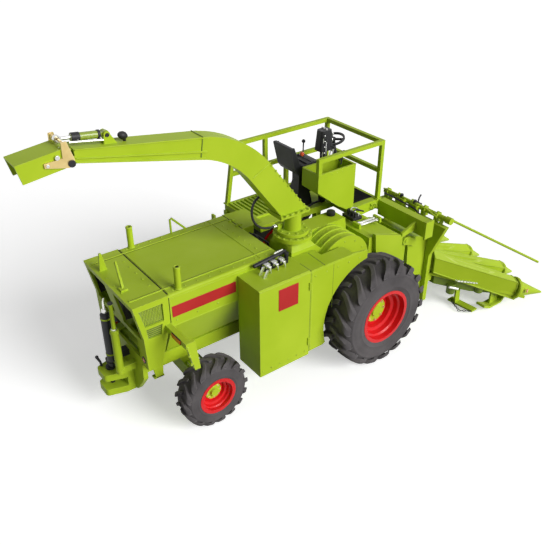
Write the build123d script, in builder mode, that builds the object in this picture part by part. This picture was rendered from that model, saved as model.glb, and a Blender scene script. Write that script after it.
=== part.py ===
"""Forage harvester, a 1:32 scale model of a self-propelled machine for maize.

Millimetres. +X is forward (towards the maize header), +Y is the driver's left, +Z is up.
Every size is drawn about the datum: the front axle's station, the middle of the track and
the floor. ORIGIN brings the finished pieces to the model's own origin, the point of the
floor below the middle of its overall length and width.
"""
import os
from math import hypot, radians, tan

from build123d import *

os.makedirs("parts", exist_ok=True)

SIDES = (("left", 1), ("right", -1))
ORIGIN = Pos(13.6, 8.2, 0)

# Clearances
SEAT_GAP = 0.05          # round fits that do not turn
RUNNING_GAP = 0.06       # pins in their bores
WORKING_GAP = 0.4        # between pieces that move past each other

# Wheels
WHEELBASE = 80.6
REAR_AXLE_X = -WHEELBASE
FRONT_TYRE_R = 25.0
FRONT_TYRE_WIDTH = 17.5
FRONT_OVERALL = 94.0     # over the front tyres
FRONT_RIM_R = 12.2       # bead seat
REAR_TYRE_R = 15.0
REAR_TYRE_WIDTH = 10.0
REAR_OVERALL = 70.8
REAR_RIM_R = 7.5
RIM_WALL = 0.8
FLANGE_RISE = 0.65       # rim flange above the bead seat
DISC_SHARE = 0.10        # the disc's face stands this share of the half width outside the middle

# Frame and axles
RAIL_INNER_Y = 11.0
RAIL_WIDTH = 3.5
RAIL_BOTTOM = 23.0
RAIL_TOP = 29.0
RAIL_WALL = 1.0
FRAME_OVERHANG = 19.4    # behind the rear axle
FRAME_REAR_X = REAR_AXLE_X - FRAME_OVERHANG
END_PLATE_T = 2.0
PLATE_REAR_X = FRAME_REAR_X - END_PLATE_T
RAIL_FRONT_X = -12.0
PLINTH_HOLE_R = 1.1
PLINTH_HOLES_X = (-50.0, -20.0)
AXLE_TUBE_R = 4.5
FINAL_DRIVE_R = 8.5
FINAL_DRIVE_LENGTH = 10.5
KINGPIN_Y = 20.5
KINGPIN_R = 1.0
KNUCKLE_R = 2.2
KNUCKLE_HALF_HEIGHT = 3.9
EAR_T = 1.6              # of the rear axle's yokes
EAR_GAP = 0.2
TRACK_PIN_R = 0.5
PIVOT_HALF = 4.0         # of the rear axle's pivot block
PIVOT_CHEEK = 1.5
STEER_ARM = 8.0          # kingpin to track-rod joint, forwards

# Engine hood and rear cowl
HOOD_HALF = 21.2
HOOD_TOP = 59.7
HOOD_WAIST = 45.0        # below it the sides tuck in to the frame
HOOD_FOOT_HALF = 14.0
HOOD_FRONT_X = -40.0
HOOD_OVERHANG = 10.2     # behind the rear axle
HOOD_REAR_X = REAR_AXLE_X - HOOD_OVERHANG
SHEET = 1.0
COWL_LENGTH = 15.1
COWL_REAR_X = HOOD_REAR_X - COWL_LENGTH
COWL_LOW = 29.2
STUB_X = HOOD_REAR_X + 5.1
STUB_Y = HOOD_HALF - 2.0
STUB_R = 1.3
STUB_WALL = 0.5
STUB_TOP = 69.4

# Side box, wheel guard and hidden-side tank
BOX_REAR_X = REAR_AXLE_X + REAR_TYRE_R + 5.1
BOX_FRONT_X = -35.0
BOX_OUTER_Y = 36.0
BOX_BOTTOM = 14.5
BOX_TOP = 56.7
GUARD_FRONT_X = -4.0
GUARD_CLEARANCE = 2.0    # arch over the tyre
GUARD_BOTTOM = 16.0
FLANGE_FRONT_X = -12.0   # the guard's flat top ends here
TANK_OUTER_Y = 35.4
TANK_BOTTOM = 20.0
TANK_TOP = 46.0
TANK_REAR_X = REAR_AXLE_X + REAR_TYRE_R + 6.1
TANK_FRONT_X = -37.0
TANK_ARM = 3.0           # its brackets' square section

# Crop line: cutter, blower, tower and spout share this plane
CROP_Y = -15.5
CROP_HALF = 11.5
DRUM_FAR_Y = -13.0        # the blower drum's inboard end
DRUM_RIB = 0.5
HOUSING_BOTTOM = 31.0
BLOWER_X = -9.0
BLOWER_R = 14.0
BLOWER_Z = HOUSING_BOTTOM + BLOWER_R
DRUM_RIB_T = 0.6
RIBS = 4
RIB_PITCH = 3.93
TOWER_X = -28.5
TOWER_R = 4.6
TOWER_WALL = 1.0
TOWER_HALF_X = 6.3
TOWER_HALF_Y = 7.5
TOWER_TOP = 63.5
TURNTABLE_R = 8.2
TURNTABLE_T = 1.8

# Spout
SPOUT_HALF = 3.7
SPOUT_WALL = 0.8
SPOUT_BASE_Z = 75.0
NECK_R = 3.6
SPOUT_OUTER_R = 44.0
SPOUT_INNER_R = 36.0

# Platform
DECK_REAR_X = -28.0
DECK_FRONT_X = 35.3
DECK_RIGHT_Y = -3.4
DECK_LEFT_Y = 37.0
DECK_TOP = 55.5
DECK_T = 1.0
DECK_LIP = 3.0
NOTCH_X = 15.5           # the deck is cut away beside the tower
NOTCH_Y = 8.0
FASCIA_LOW = 51.0
DECK_POSTS_X = (-12.0, 9.0)
DECK_POST = 3.0
TUBE = 1.9               # square tube of the railings
TOP_RAIL_Z = 84.2
MID_RAIL_Z = 70.0
SHORT_RAIL_X = -4.6      # rear end of the right-hand railing and of the console box
POST_LEAN = 4.4          # the rear post's top stands this far ahead of its foot
LOW_POST_X = 8.2

# Header
ROW_PITCH = 22.0
ROWS = 4
HEADER_REAR_X = 45.0
FRAME_T = 2.5
THROAT_HALF = 14.0
CREST_HALF = 21.5        # the frame widens towards its top edge
HEADER_TOP = 50.0
HEADER_WAIST = 32.0
HEADER_LOW = 5.5
MOUTH_HALF = 9.5
MOUTH_LOW = 14.0
MOUTH_HIGH = 30.0
LIFT_X = 29.0
LIFT_Z = 45.0
LIFT_PIN_R = 0.9
FAN_REAR_X = 48.0        # the hoods leave the throat here and spread forwards
FAN_FRONT_X = 88.0
DIVIDER_BASE_X = 94.6
DIVIDER_TIP_X = 107.8
DIVIDER_TIP_Z = 3.0
DIVIDER_BASE_Z = 9.6
DIVIDER_BASE_R = 3.9
DIVIDER_TIP_R = 0.5
HOOD_SHEET = 0.7
DECK_SHEET = 1.4
SLOT_WIDTH = 3.6         # the stalks' way through the header deck


def save(builder: BuildPart, label: str) -> None:
    """Label a finished piece, bring it to the model's origin and write it."""
    builder.part.label = label
    piece = builder.part.moved(ORIGIN)
    piece.label = label
    export_step(piece, f"parts/{label}.step")


def across(x: float, z: float) -> Plane:
    """A plane square to Y on the middle of the track, its local axes X and Z."""
    return Plane(origin=(x, 0, z), x_dir=(1, 0, 0), z_dir=(0, -1, 0))


def wall(y: float) -> Plane:
    """A plane square to Y at this y, drawn in the model's own X and Z; it faces the right."""
    return Plane(origin=(0, y, 0), x_dir=(1, 0, 0), z_dir=(0, -1, 0))


def disc_face(overall: float, tyre_width: float) -> float:
    """How far a wheel disc's outer face stands from the middle of the track."""
    return overall / 2 - tyre_width / 2 * (1 - DISC_SHARE)


def behind_hood(points: tuple) -> list:
    """Turn (distance behind the hood, height) pairs into the model's X and Z."""
    return [(HOOD_REAR_X - back, height) for back, height in points]


# ---------------------------------------------------------------- wheels
# axle, centre x, tyre radius, tyre width, width over the tyres, bead seat radius
WHEELS = (
    ("front", 0.0, FRONT_TYRE_R, FRONT_TYRE_WIDTH, FRONT_OVERALL, FRONT_RIM_R),
    ("rear", REAR_AXLE_X, REAR_TYRE_R, REAR_TYRE_WIDTH, REAR_OVERALL, REAR_RIM_R),
)
# the dished disc's outer face: share of the bead seat radius, share of the half width
RIM_STEPS = ((0.40, DISC_SHARE), (0.60, DISC_SHARE), (0.66, 0.34), (0.77, 0.40), (0.82, 0.62), (0.89, 0.68))

for axle, wheel_x, tyre_r, tyre_w, overall, seat_r in WHEELS:
    half_w = tyre_w / 2
    bead = 0.44 * tyre_w
    for side, sign in SIDES:
        hub_y = sign * (overall / 2 - half_w)
        section = Plane(origin=(wheel_x, hub_y, tyre_r))
        spin = Axis((wheel_x, 0, tyre_r), (0, 1, 0))

        with BuildPart() as tyre:
            with BuildSketch(section):
                with BuildLine():
                    wall_r = (seat_r + 0.95 * tyre_r) / 2
                    bead_r = seat_r + FLANGE_RISE
                    shoulder = (0.955 * tyre_r, 0.45 * tyre_w)
                    shoulder_in = (shoulder[0], -shoulder[1])
                    Line((seat_r, bead), (bead_r, bead))
                    ThreePointArc((bead_r, bead), (wall_r, half_w), shoulder)
                    ThreePointArc(shoulder, (tyre_r, 0), shoulder_in)
                    ThreePointArc(shoulder_in, (wall_r, -half_w), (bead_r, -bead))
                    Polyline((bead_r, -bead), (seat_r, -bead), (seat_r, bead))
                make_face()
            revolve(axis=spin)
        save(tyre, f"{axle}_tyre_{side}")

        flange_r = seat_r + FLANGE_RISE
        flange_in = bead + SEAT_GAP
        flange_out = flange_in + 0.55
        barrel_r = seat_r - SEAT_GAP
        face = [(share_r * seat_r, sign * share_w * half_w) for share_r, share_w in RIM_STEPS]
        back = [(radius, offset - sign * RIM_WALL) for radius, offset in face[:3]]
        with BuildPart() as rim:
            with BuildSketch(section):
                with BuildLine():
                    Polyline(
                        *face,
                        (barrel_r - RIM_WALL, sign * flange_out),
                        (flange_r, sign * flange_out),
                        (flange_r, sign * flange_in),
                        (barrel_r, sign * flange_in),
                        (barrel_r, -sign * flange_in),
                        (flange_r, -sign * flange_in),
                        (flange_r, -sign * flange_out),
                        (barrel_r - RIM_WALL, -sign * flange_out),
                        (barrel_r - RIM_WALL, back[2][1]),
                        back[1],
                        back[0],
                        close=True,
                    )
                make_face()
            revolve(axis=spin)
        save(rim, f"{axle}_rim_{side}")

        disc = DISC_SHARE * half_w
        bore = 0.40 * seat_r - SEAT_GAP
        with BuildPart() as hub:
            with BuildSketch(section):
                with BuildLine():
                    Polyline(
                        (0, sign * (disc - RIM_WALL)),
                        (bore, sign * (disc - RIM_WALL)),
                        (bore, sign * disc),
                        (0.47 * seat_r, sign * disc),
                        (0.47 * seat_r, sign * (disc + 0.7)),
                        (0.24 * seat_r, sign * (disc + 0.9)),
                        (0.20 * seat_r, sign * (disc + 1.9)),
                        (0, sign * (disc + 1.9)),
                        close=True,
                    )
                make_face()
            revolve(axis=spin)
        save(hub, f"{axle}_hub_{side}")

# ---------------------------------------------------------------- axles
drive_end = disc_face(FRONT_OVERALL, FRONT_TYRE_WIDTH) - RIM_WALL - WORKING_GAP
stub_end = disc_face(REAR_OVERALL, REAR_TYRE_WIDTH) - RIM_WALL - WORKING_GAP
drive_start = drive_end - FINAL_DRIVE_LENGTH
with BuildPart() as front_axle:
    with BuildSketch(across(0, FRONT_TYRE_R)):
        Circle(AXLE_TUBE_R)
    extrude(amount=drive_end, both=True)
    for side, sign in SIDES:
        with BuildSketch(Plane(origin=(0, 0, FRONT_TYRE_R))):
            with BuildLine():
                Polyline(
                    (0, sign * drive_start),
                    (AXLE_TUBE_R + 1.0, sign * drive_start),
                    (FINAL_DRIVE_R, sign * (drive_start + 2.1)),
                    (FINAL_DRIVE_R, sign * (drive_end - 1.5)),
                    (FINAL_DRIVE_R - 1.5, sign * drive_end),
                    (0, sign * drive_end),
                    close=True,
                )
            make_face()
        revolve(axis=Axis((0, 0, FRONT_TYRE_R), (0, 1, 0)))
save(front_axle, "front_axle")

rear_axle_z = REAR_TYRE_R
yoke_in = KINGPIN_Y - KNUCKLE_R - EAR_T
ear_reach = KNUCKLE_HALF_HEIGHT + EAR_GAP
with BuildPart() as rear_axle:
    with BuildSketch(Plane.YZ.offset(REAR_AXLE_X)):
        with BuildLine():
            Polyline(
                (-yoke_in, rear_axle_z - 3.4), (0, rear_axle_z - 2.4), (yoke_in, rear_axle_z - 3.4),
                (yoke_in, rear_axle_z + 3.4), (0, rear_axle_z + 4.4), (-yoke_in, rear_axle_z + 3.4),
                close=True,
            )
        make_face()
    extrude(amount=2.6, both=True)
    for side, sign in SIDES:
        for level in (-1, 1):
            ear_low = rear_axle_z + level * ear_reach - (EAR_T if level < 0 else 0)
            with BuildSketch(Plane.XY.offset(ear_low)):
                with Locations((REAR_AXLE_X, sign * (yoke_in - 1.0 + KINGPIN_Y) / 2)):
                    Rectangle(2 * KNUCKLE_R, KINGPIN_Y - yoke_in + 1.0)
                with Locations((REAR_AXLE_X, sign * KINGPIN_Y)):
                    Circle(KNUCKLE_R)
                    Circle(KINGPIN_R + RUNNING_GAP, mode=Mode.SUBTRACT)
            extrude(amount=EAR_T)
        with BuildSketch(Plane.XY.offset(rear_axle_z - ear_reach - EAR_T)):
            with Locations((REAR_AXLE_X, sign * (yoke_in - 0.5))):
                Rectangle(2 * KNUCKLE_R, 1.0)
        extrude(amount=2 * (ear_reach + EAR_T))
    with BuildSketch(Plane.YZ.offset(REAR_AXLE_X)):
        with Locations((0, rear_axle_z + 4.0)):
            Circle(3.2)
    extrude(amount=PIVOT_HALF, both=True)
save(rear_axle, "rear_axle")

rod_x = REAR_AXLE_X + STEER_ARM
rod_y = KINGPIN_Y
arm_z = rear_axle_z - KNUCKLE_HALF_HEIGHT
for side, sign in SIDES:
    with BuildPart() as knuckle:
        with BuildSketch(Plane.XY.offset(rear_axle_z - KNUCKLE_HALF_HEIGHT)):
            with Locations((REAR_AXLE_X, sign * KINGPIN_Y)):
                Circle(KNUCKLE_R)
        extrude(amount=2 * KNUCKLE_HALF_HEIGHT)
        pin_foot = rear_axle_z - ear_reach - EAR_T - 0.4
        with BuildSketch(Plane.XY.offset(pin_foot)):
            with Locations((REAR_AXLE_X, sign * KINGPIN_Y)):
                Circle(KINGPIN_R)
        extrude(amount=2 * (rear_axle_z - pin_foot))
        with BuildSketch(wall(sign * KINGPIN_Y)):
            with Locations((REAR_AXLE_X, rear_axle_z)):
                Circle(KNUCKLE_R - 0.2)
        extrude(amount=-sign * (stub_end - KINGPIN_Y))
        with BuildSketch(Plane.XY.offset(arm_z)):
            with BuildLine():
                Polyline(
                    (REAR_AXLE_X, sign * (KINGPIN_Y - 1.6)), (REAR_AXLE_X, sign * (KINGPIN_Y + 1.6)),
                    (rod_x, sign * (rod_y + 1.2)), (rod_x, sign * (rod_y - 1.2)), close=True,
                )
            make_face()
            with Locations((rod_x, sign * rod_y)):
                Circle(1.2)
                Circle(TRACK_PIN_R + RUNNING_GAP, mode=Mode.SUBTRACT)
        extrude(amount=1.2)
    save(knuckle, f"rear_knuckle_{side}")

with BuildPart() as tie_rod:
    with BuildSketch(across(rod_x, arm_z + 2.2)):
        Circle(0.7)
    extrude(amount=rod_y, both=True)
    for side, sign in SIDES:
        with BuildSketch(Plane.XY.offset(arm_z + 1.4)):
            with Locations((rod_x, sign * rod_y)):
                Circle(1.1)
        extrude(amount=1.6)
        with BuildSketch(Plane.XY.offset(arm_z - 0.2)):
            with Locations((rod_x, sign * rod_y)):
                Circle(TRACK_PIN_R)
        extrude(amount=1.8)
save(tie_rod, "tie_rod")

# ---------------------------------------------------------------- main frame
with BuildPart() as main_frame:
    for side, sign in SIDES:
        rail_mid = sign * (RAIL_INNER_Y + RAIL_WIDTH / 2)
        with BuildSketch(Plane.YZ.offset(FRAME_REAR_X)):
            with Locations((rail_mid, (RAIL_BOTTOM + RAIL_TOP) / 2)):
                Rectangle(RAIL_WIDTH, RAIL_TOP - RAIL_BOTTOM)
            with Locations((rail_mid - sign * RAIL_WALL, (RAIL_BOTTOM + RAIL_TOP) / 2)):
                Rectangle(RAIL_WIDTH, RAIL_TOP - RAIL_BOTTOM - 2 * RAIL_WALL, mode=Mode.SUBTRACT)
        extrude(amount=RAIL_FRONT_X - FRAME_REAR_X)
        # the plate that hangs from the rail and carries the front axle
        with BuildSketch(wall(sign * RAIL_INNER_Y)):
            Polygon((-16, RAIL_BOTTOM), (-9, 18.5), (8, 18.5), (12, 24), (12, HOUSING_BOTTOM),
                    (-14, HOUSING_BOTTOM), (-16, RAIL_TOP), align=None)
            with Locations((0, FRONT_TYRE_R)):
                Circle(AXLE_TUBE_R + SEAT_GAP, mode=Mode.SUBTRACT)
        extrude(amount=-sign * RAIL_WIDTH)
    # cross members, two of them bored for a display plinth's screws
    bored = tuple((hole_x, 5.0) for hole_x in PLINTH_HOLES_X)
    for member_x, depth in ((FRAME_REAR_X + 4.0, 4.0), (REAR_AXLE_X, 3.0), *bored):
        with BuildSketch(Plane.XY.offset(RAIL_BOTTOM + RAIL_WALL)):
            with Locations((member_x, 0)):
                Rectangle(depth, 2 * RAIL_INNER_Y + 1.0)
                if member_x in PLINTH_HOLES_X:
                    Circle(PLINTH_HOLE_R, mode=Mode.SUBTRACT)
        extrude(amount=RAIL_TOP - RAIL_BOTTOM - 2 * RAIL_WALL)
    with BuildSketch(Plane.YZ.offset(FRAME_REAR_X)):
        with BuildLine():
            FilletPolyline((-14.5, RAIL_TOP), (-14.5, 20.0), (-7.0, 10.0), (7.0, 10.0), (14.5, 20.0),
                           (14.5, RAIL_TOP), radius=2.0)
            Line((14.5, RAIL_TOP), (-14.5, RAIL_TOP))
        make_face()
    extrude(amount=-END_PLATE_T)
    # the rear axle's pivot bracket
    with BuildSketch(wall(PIVOT_HALF)):
        with Locations((REAR_AXLE_X, (RAIL_BOTTOM + rear_axle_z) / 2 + 1.0)):
            Rectangle(2 * (PIVOT_HALF + 0.1 + PIVOT_CHEEK), RAIL_BOTTOM - rear_axle_z)
        with Locations((REAR_AXLE_X, (RAIL_BOTTOM + rear_axle_z) / 2)):
            Rectangle(2 * (PIVOT_HALF + 0.1), RAIL_BOTTOM - rear_axle_z, mode=Mode.SUBTRACT)
    extrude(amount=2 * PIVOT_HALF)
save(main_frame, "main_frame")

# ---------------------------------------------------------------- rear hitch
HITCH_REACH = 12.0
HITCH_REAR_X = PLATE_REAR_X - HITCH_REACH
HITCH_HALF = 6.0
HITCH_PIN_X = PLATE_REAR_X - 7.5
HITCH_PIN_R = 1.0
HITCH_LOW = 10.0
HITCH_HIGH = 20.5
JAW_LOW = 13.2
JAW_HIGH = 17.4
with BuildPart() as rear_hitch:
    with BuildSketch(Plane.XY.offset(HITCH_LOW)):
        with BuildLine():
            shoulder_x = PLATE_REAR_X - 4.0
            FilletPolyline((PLATE_REAR_X, HITCH_HALF), (shoulder_x, HITCH_HALF), (HITCH_REAR_X, 3.6),
                           (HITCH_REAR_X, -3.6), (shoulder_x, -HITCH_HALF), (PLATE_REAR_X, -HITCH_HALF),
                           radius=1.6)
            Line((PLATE_REAR_X, -HITCH_HALF), (PLATE_REAR_X, HITCH_HALF))
        make_face()
        with Locations((HITCH_PIN_X, 0)):
            Circle(HITCH_PIN_R + RUNNING_GAP, mode=Mode.SUBTRACT)
    extrude(amount=HITCH_HIGH - HITCH_LOW)
    jaw_root_x = PLATE_REAR_X - 3.2
    with BuildSketch(wall(HITCH_HALF + 1)):
        with Locations(((jaw_root_x + HITCH_REAR_X) / 2 - 0.25, (JAW_LOW + JAW_HIGH) / 2)):
            Rectangle(jaw_root_x - HITCH_REAR_X + 0.5, JAW_HIGH - JAW_LOW)
    extrude(amount=2 * HITCH_HALF + 2, mode=Mode.SUBTRACT)
save(rear_hitch, "rear_hitch")

with BuildPart() as hitch_pin:
    with BuildSketch(Plane.XY.offset(HITCH_LOW - 0.8)):
        with Locations((HITCH_PIN_X, 0)):
            Circle(HITCH_PIN_R)
    extrude(amount=HITCH_HIGH - HITCH_LOW + 3.0)
    with BuildSketch(Plane.XY.offset(HITCH_HIGH + 0.1)):
        with Locations((HITCH_PIN_X, 0)):
            Circle(HITCH_PIN_R + 0.9)
    extrude(amount=1.0)
    with BuildSketch(Plane.XY.offset(HITCH_HIGH + 2.2)):
        with Locations((HITCH_PIN_X, 0)):
            SlotOverall(5.5, 1.8, rotation=90)
    extrude(amount=1.6)
save(hitch_pin, "hitch_pin")

# ---------------------------------------------------------------- engine hood and cowl
hood_outline = ((-HOOD_FOOT_HALF, RAIL_TOP), (-HOOD_HALF, HOOD_WAIST), (-HOOD_HALF, HOOD_TOP),
                (HOOD_HALF, HOOD_TOP), (HOOD_HALF, HOOD_WAIST), (HOOD_FOOT_HALF, RAIL_TOP))
with BuildPart() as engine_hood:
    with BuildSketch(Plane.YZ.offset(HOOD_REAR_X)) as hood_section:
        Polygon(*hood_outline, align=None)
        fillet(hood_section.vertices().group_by(Axis.Z)[-1], radius=1.2)
    extrude(amount=HOOD_FRONT_X - HOOD_REAR_X)
    with BuildSketch(Plane.YZ.offset(HOOD_REAR_X)):
        inner = HOOD_HALF - SHEET
        foot = HOOD_FOOT_HALF - 1.15 * SHEET
        Polygon((-foot, RAIL_TOP), (-inner, HOOD_WAIST), (-inner, HOOD_TOP - SHEET),
                (inner, HOOD_TOP - SHEET), (inner, HOOD_WAIST), (foot, RAIL_TOP), align=None)
    extrude(amount=HOOD_FRONT_X - HOOD_REAR_X - SHEET, mode=Mode.SUBTRACT)
save(engine_hood, "engine_hood")

# outlines of the cowl's side: distance behind the hood, height
cowl_side = ((0, HOOD_TOP), (COWL_LENGTH, HOOD_TOP), (12.0, 44.6), (11.5, COWL_LOW),
             (5.7, COWL_LOW), (1.7, 43.5), (0, HOOD_WAIST))
cowl_inside = ((0, HOOD_TOP - SHEET), (COWL_LENGTH - 1.2, HOOD_TOP - SHEET), (10.9, 44.5),
               (10.4, COWL_LOW), (0, COWL_LOW))
cowl_windows = (
    ((12.8, 57.4), (3.0, 57.4), (3.0, 49.6), (10.8, 49.6)),
    ((10.6, 48.4), (3.8, 48.4), (4.6, 43.8), (10.1, 43.8)),
)
# openings in its rear face: y, z, width, height
REAR_BAYS = ((-11.2, 50.0, 15.0, 14.0), (11.2, 50.0, 15.0, 14.0), (0.0, 36.5, 30.0, 9.0))
with BuildPart() as rear_cowl:
    with BuildSketch(wall(HOOD_HALF)):
        Polygon(*behind_hood(cowl_side), align=None)
    extrude(amount=2 * HOOD_HALF)
    with BuildSketch(wall(HOOD_HALF - SHEET)):
        Polygon(*behind_hood(cowl_inside), align=None)
    extrude(amount=2 * (HOOD_HALF - SHEET), mode=Mode.SUBTRACT)
    with BuildSketch(wall(HOOD_HALF + 1)):
        for window in cowl_windows:
            Polygon(*behind_hood(window), align=None)
    extrude(amount=2 * HOOD_HALF + 2, mode=Mode.SUBTRACT)
    with BuildSketch(Plane.YZ.offset(COWL_REAR_X - 1)):
        for bay_y, bay_z, bay_width, bay_height in REAR_BAYS:
            with Locations((bay_y, bay_z)):
                Rectangle(bay_width, bay_height)
    extrude(amount=6.0, mode=Mode.SUBTRACT)
save(rear_cowl, "rear_cowl")

# gauze behind each window
GRILLE_T = 0.4
GRILLE_LAP = 0.5
with BuildPart() as cowl_grilles:
    for side, sign in SIDES:
        for window in cowl_windows:
            with BuildSketch(wall(sign * (HOOD_HALF - SHEET))):
                Polygon(*behind_hood(window), align=None)
                offset(amount=GRILLE_LAP, kind=Kind.INTERSECTION)
            extrude(amount=sign * GRILLE_T)
save(cowl_grilles, "cowl_grilles")

with BuildPart() as exhaust_stubs:
    for side, sign in SIDES:
        with BuildSketch(Plane.XY.offset(HOOD_TOP)):
            with Locations((STUB_X, sign * STUB_Y)):
                Circle(STUB_R)
        extrude(amount=STUB_TOP - HOOD_TOP)
        with BuildSketch(Plane.XY.offset(HOOD_TOP + 2.0)):
            with Locations((STUB_X, sign * STUB_Y)):
                Circle(STUB_R - STUB_WALL)
        extrude(amount=STUB_TOP - HOOD_TOP, mode=Mode.SUBTRACT)
save(exhaust_stubs, "exhaust_stubs")

# what stands behind the end plate, each on an arm from it
CANISTER_X = PLATE_REAR_X - 7.0
CANISTER_Y = -2.0
CANISTER_R = 2.0
CANISTER_LOW = 26.0
CANISTER_TOP = 49.0
RAM_X = PLATE_REAR_X - 6.6
RAM_Y = -8.0
RAM_R = 1.6
RAM_ROD_R = 0.8
RAM_LOW = 23.0
RAM_TOP = 44.0
RAM_ROD_TOP = 56.0
ARM_REACH = 6.0
with BuildPart() as oil_canister:
    with BuildSketch(Plane.XY.offset(CANISTER_LOW)):
        with Locations((CANISTER_X, CANISTER_Y)):
            Circle(CANISTER_R)
    extrude(amount=CANISTER_TOP - CANISTER_LOW)
    chamfer(oil_canister.edges().group_by(Axis.Z)[-1], length=0.8)
    with BuildSketch(Plane.XY.offset(CANISTER_LOW)):
        with Locations((PLATE_REAR_X - ARM_REACH / 2, CANISTER_Y)):
            Rectangle(ARM_REACH, 3.0)
    extrude(amount=3.0)
save(oil_canister, "oil_canister")

with BuildPart() as rear_ram:
    with BuildSketch(Plane.XY.offset(RAM_LOW)):
        with Locations((RAM_X, RAM_Y)):
            Circle(RAM_R)
    extrude(amount=RAM_TOP - RAM_LOW)
    with BuildSketch(Plane.XY.offset(RAM_TOP)):
        with Locations((RAM_X, RAM_Y)):
            Circle(RAM_ROD_R)
    extrude(amount=RAM_ROD_TOP - RAM_TOP)
    with BuildSketch(Plane.XY.offset(RAM_LOW)):
        with Locations((PLATE_REAR_X - ARM_REACH / 2, RAM_Y)):
            Rectangle(ARM_REACH, 2.6)
    extrude(amount=3.0)
save(rear_ram, "rear_ram")

# ---------------------------------------------------------------- lamp beams
LAMP_BEAM = 2.4
LAMP_REACH = 15.0
LAMP_PLATE_T = 1.7
lamp_plate = ((2.8, 47.4), (-1.2, 47.4), (-2.8, 34.0), (-0.4, 34.0))
with BuildPart() as lamp_beams:
    for side, sign in SIDES:
        with BuildSketch(wall(sign * HOOD_HALF)):
            with Locations((HOOD_REAR_X - 1.6, HOOD_WAIST + LAMP_BEAM / 2)):
                Rectangle(LAMP_BEAM, LAMP_BEAM)
        extrude(amount=-sign * LAMP_REACH)
        with BuildSketch(wall(sign * (HOOD_HALF + LAMP_REACH - LAMP_PLATE_T))):
            Polygon(*behind_hood(lamp_plate), align=None)
        extrude(amount=-sign * LAMP_PLATE_T)
save(lamp_beams, "lamp_beams")

# ---------------------------------------------------------------- side box, guard, tank
box_mid_x = (BOX_REAR_X + BOX_FRONT_X) / 2
box_mid_y = -(BOX_OUTER_Y + HOOD_HALF) / 2
with BuildPart() as side_box:
    with BuildSketch(Plane.XY.offset(BOX_BOTTOM)):
        with Locations((box_mid_x, box_mid_y)):
            Rectangle(BOX_FRONT_X - BOX_REAR_X, BOX_OUTER_Y - HOOD_HALF)
    extrude(amount=BOX_TOP - BOX_BOTTOM)
    fillet(side_box.edges().filter_by(Axis.X).group_by(Axis.Z)[-1].sort_by(Axis.Y)[0], radius=0.8)
    with BuildSketch(Plane.XY.offset(BOX_BOTTOM + SHEET)):
        with Locations((box_mid_x, box_mid_y + SHEET)):
            Rectangle(BOX_FRONT_X - BOX_REAR_X - 2 * SHEET, BOX_OUTER_Y - HOOD_HALF)
    extrude(amount=BOX_TOP - BOX_BOTTOM - 2 * SHEET, mode=Mode.SUBTRACT)
save(side_box, "side_box")

arch_r = FRONT_TYRE_R + GUARD_CLEARANCE
# its flat top reaches inboard to the drum and the tower's throat
drum_side_y = CROP_Y - CROP_HALF - 1.6
throat_side_y = CROP_Y - TOWER_HALF_Y - WORKING_GAP
drum_rear_x = BLOWER_X - BLOWER_R - DRUM_RIB - 0.1
guard_flange = ((BOX_FRONT_X, -BOX_OUTER_Y), (FLANGE_FRONT_X, -BOX_OUTER_Y), (FLANGE_FRONT_X, drum_side_y),
                (drum_rear_x, drum_side_y), (drum_rear_x, throat_side_y), (BOX_FRONT_X, throat_side_y))
guard_outline = ((BOX_FRONT_X, BOX_TOP), (FLANGE_FRONT_X, BOX_TOP), (GUARD_FRONT_X, BOX_TOP - 1.2),
                 (GUARD_FRONT_X, 40.0), (-24.0, GUARD_BOTTOM + 2.0), (-27.0, GUARD_BOTTOM),
                 (BOX_FRONT_X, GUARD_BOTTOM))
with BuildPart() as side_guard:
    with BuildSketch(wall(-BOX_OUTER_Y + SHEET)):
        Polygon(*guard_outline, align=None)
        with Locations((0, FRONT_TYRE_R)):
            Circle(arch_r, mode=Mode.SUBTRACT)
    extrude(amount=SHEET)
    with BuildSketch(Plane.XY.offset(BOX_TOP - SHEET)):
        Polygon(*guard_flange, align=None)
    extrude(amount=SHEET)
save(side_guard, "side_guard")

tank_inner_y = HOOD_HALF + WORKING_GAP
arm_root_y = RAIL_INNER_Y + RAIL_WIDTH
arm_tip_y = tank_inner_y + 2.4
with BuildPart() as left_tank:
    with BuildSketch(Plane.YZ.offset(TANK_REAR_X)):
        with Locations(((tank_inner_y + TANK_OUTER_Y) / 2, (TANK_BOTTOM + TANK_TOP) / 2)):
            RectangleRounded(TANK_OUTER_Y - tank_inner_y, TANK_TOP - TANK_BOTTOM, 4.0)
    extrude(amount=TANK_FRONT_X - TANK_REAR_X)
    # its two brackets on the frame rail
    for arm_x in (TANK_REAR_X + 4.0, TANK_FRONT_X - 4.0 - TANK_ARM):
        with BuildSketch(Plane.YZ.offset(arm_x)):
            with Locations(((arm_root_y + arm_tip_y) / 2, (RAIL_BOTTOM + RAIL_TOP) / 2)):
                Rectangle(arm_tip_y - arm_root_y, TANK_ARM)
        extrude(amount=TANK_ARM)
save(left_tank, "left_tank")

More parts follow.
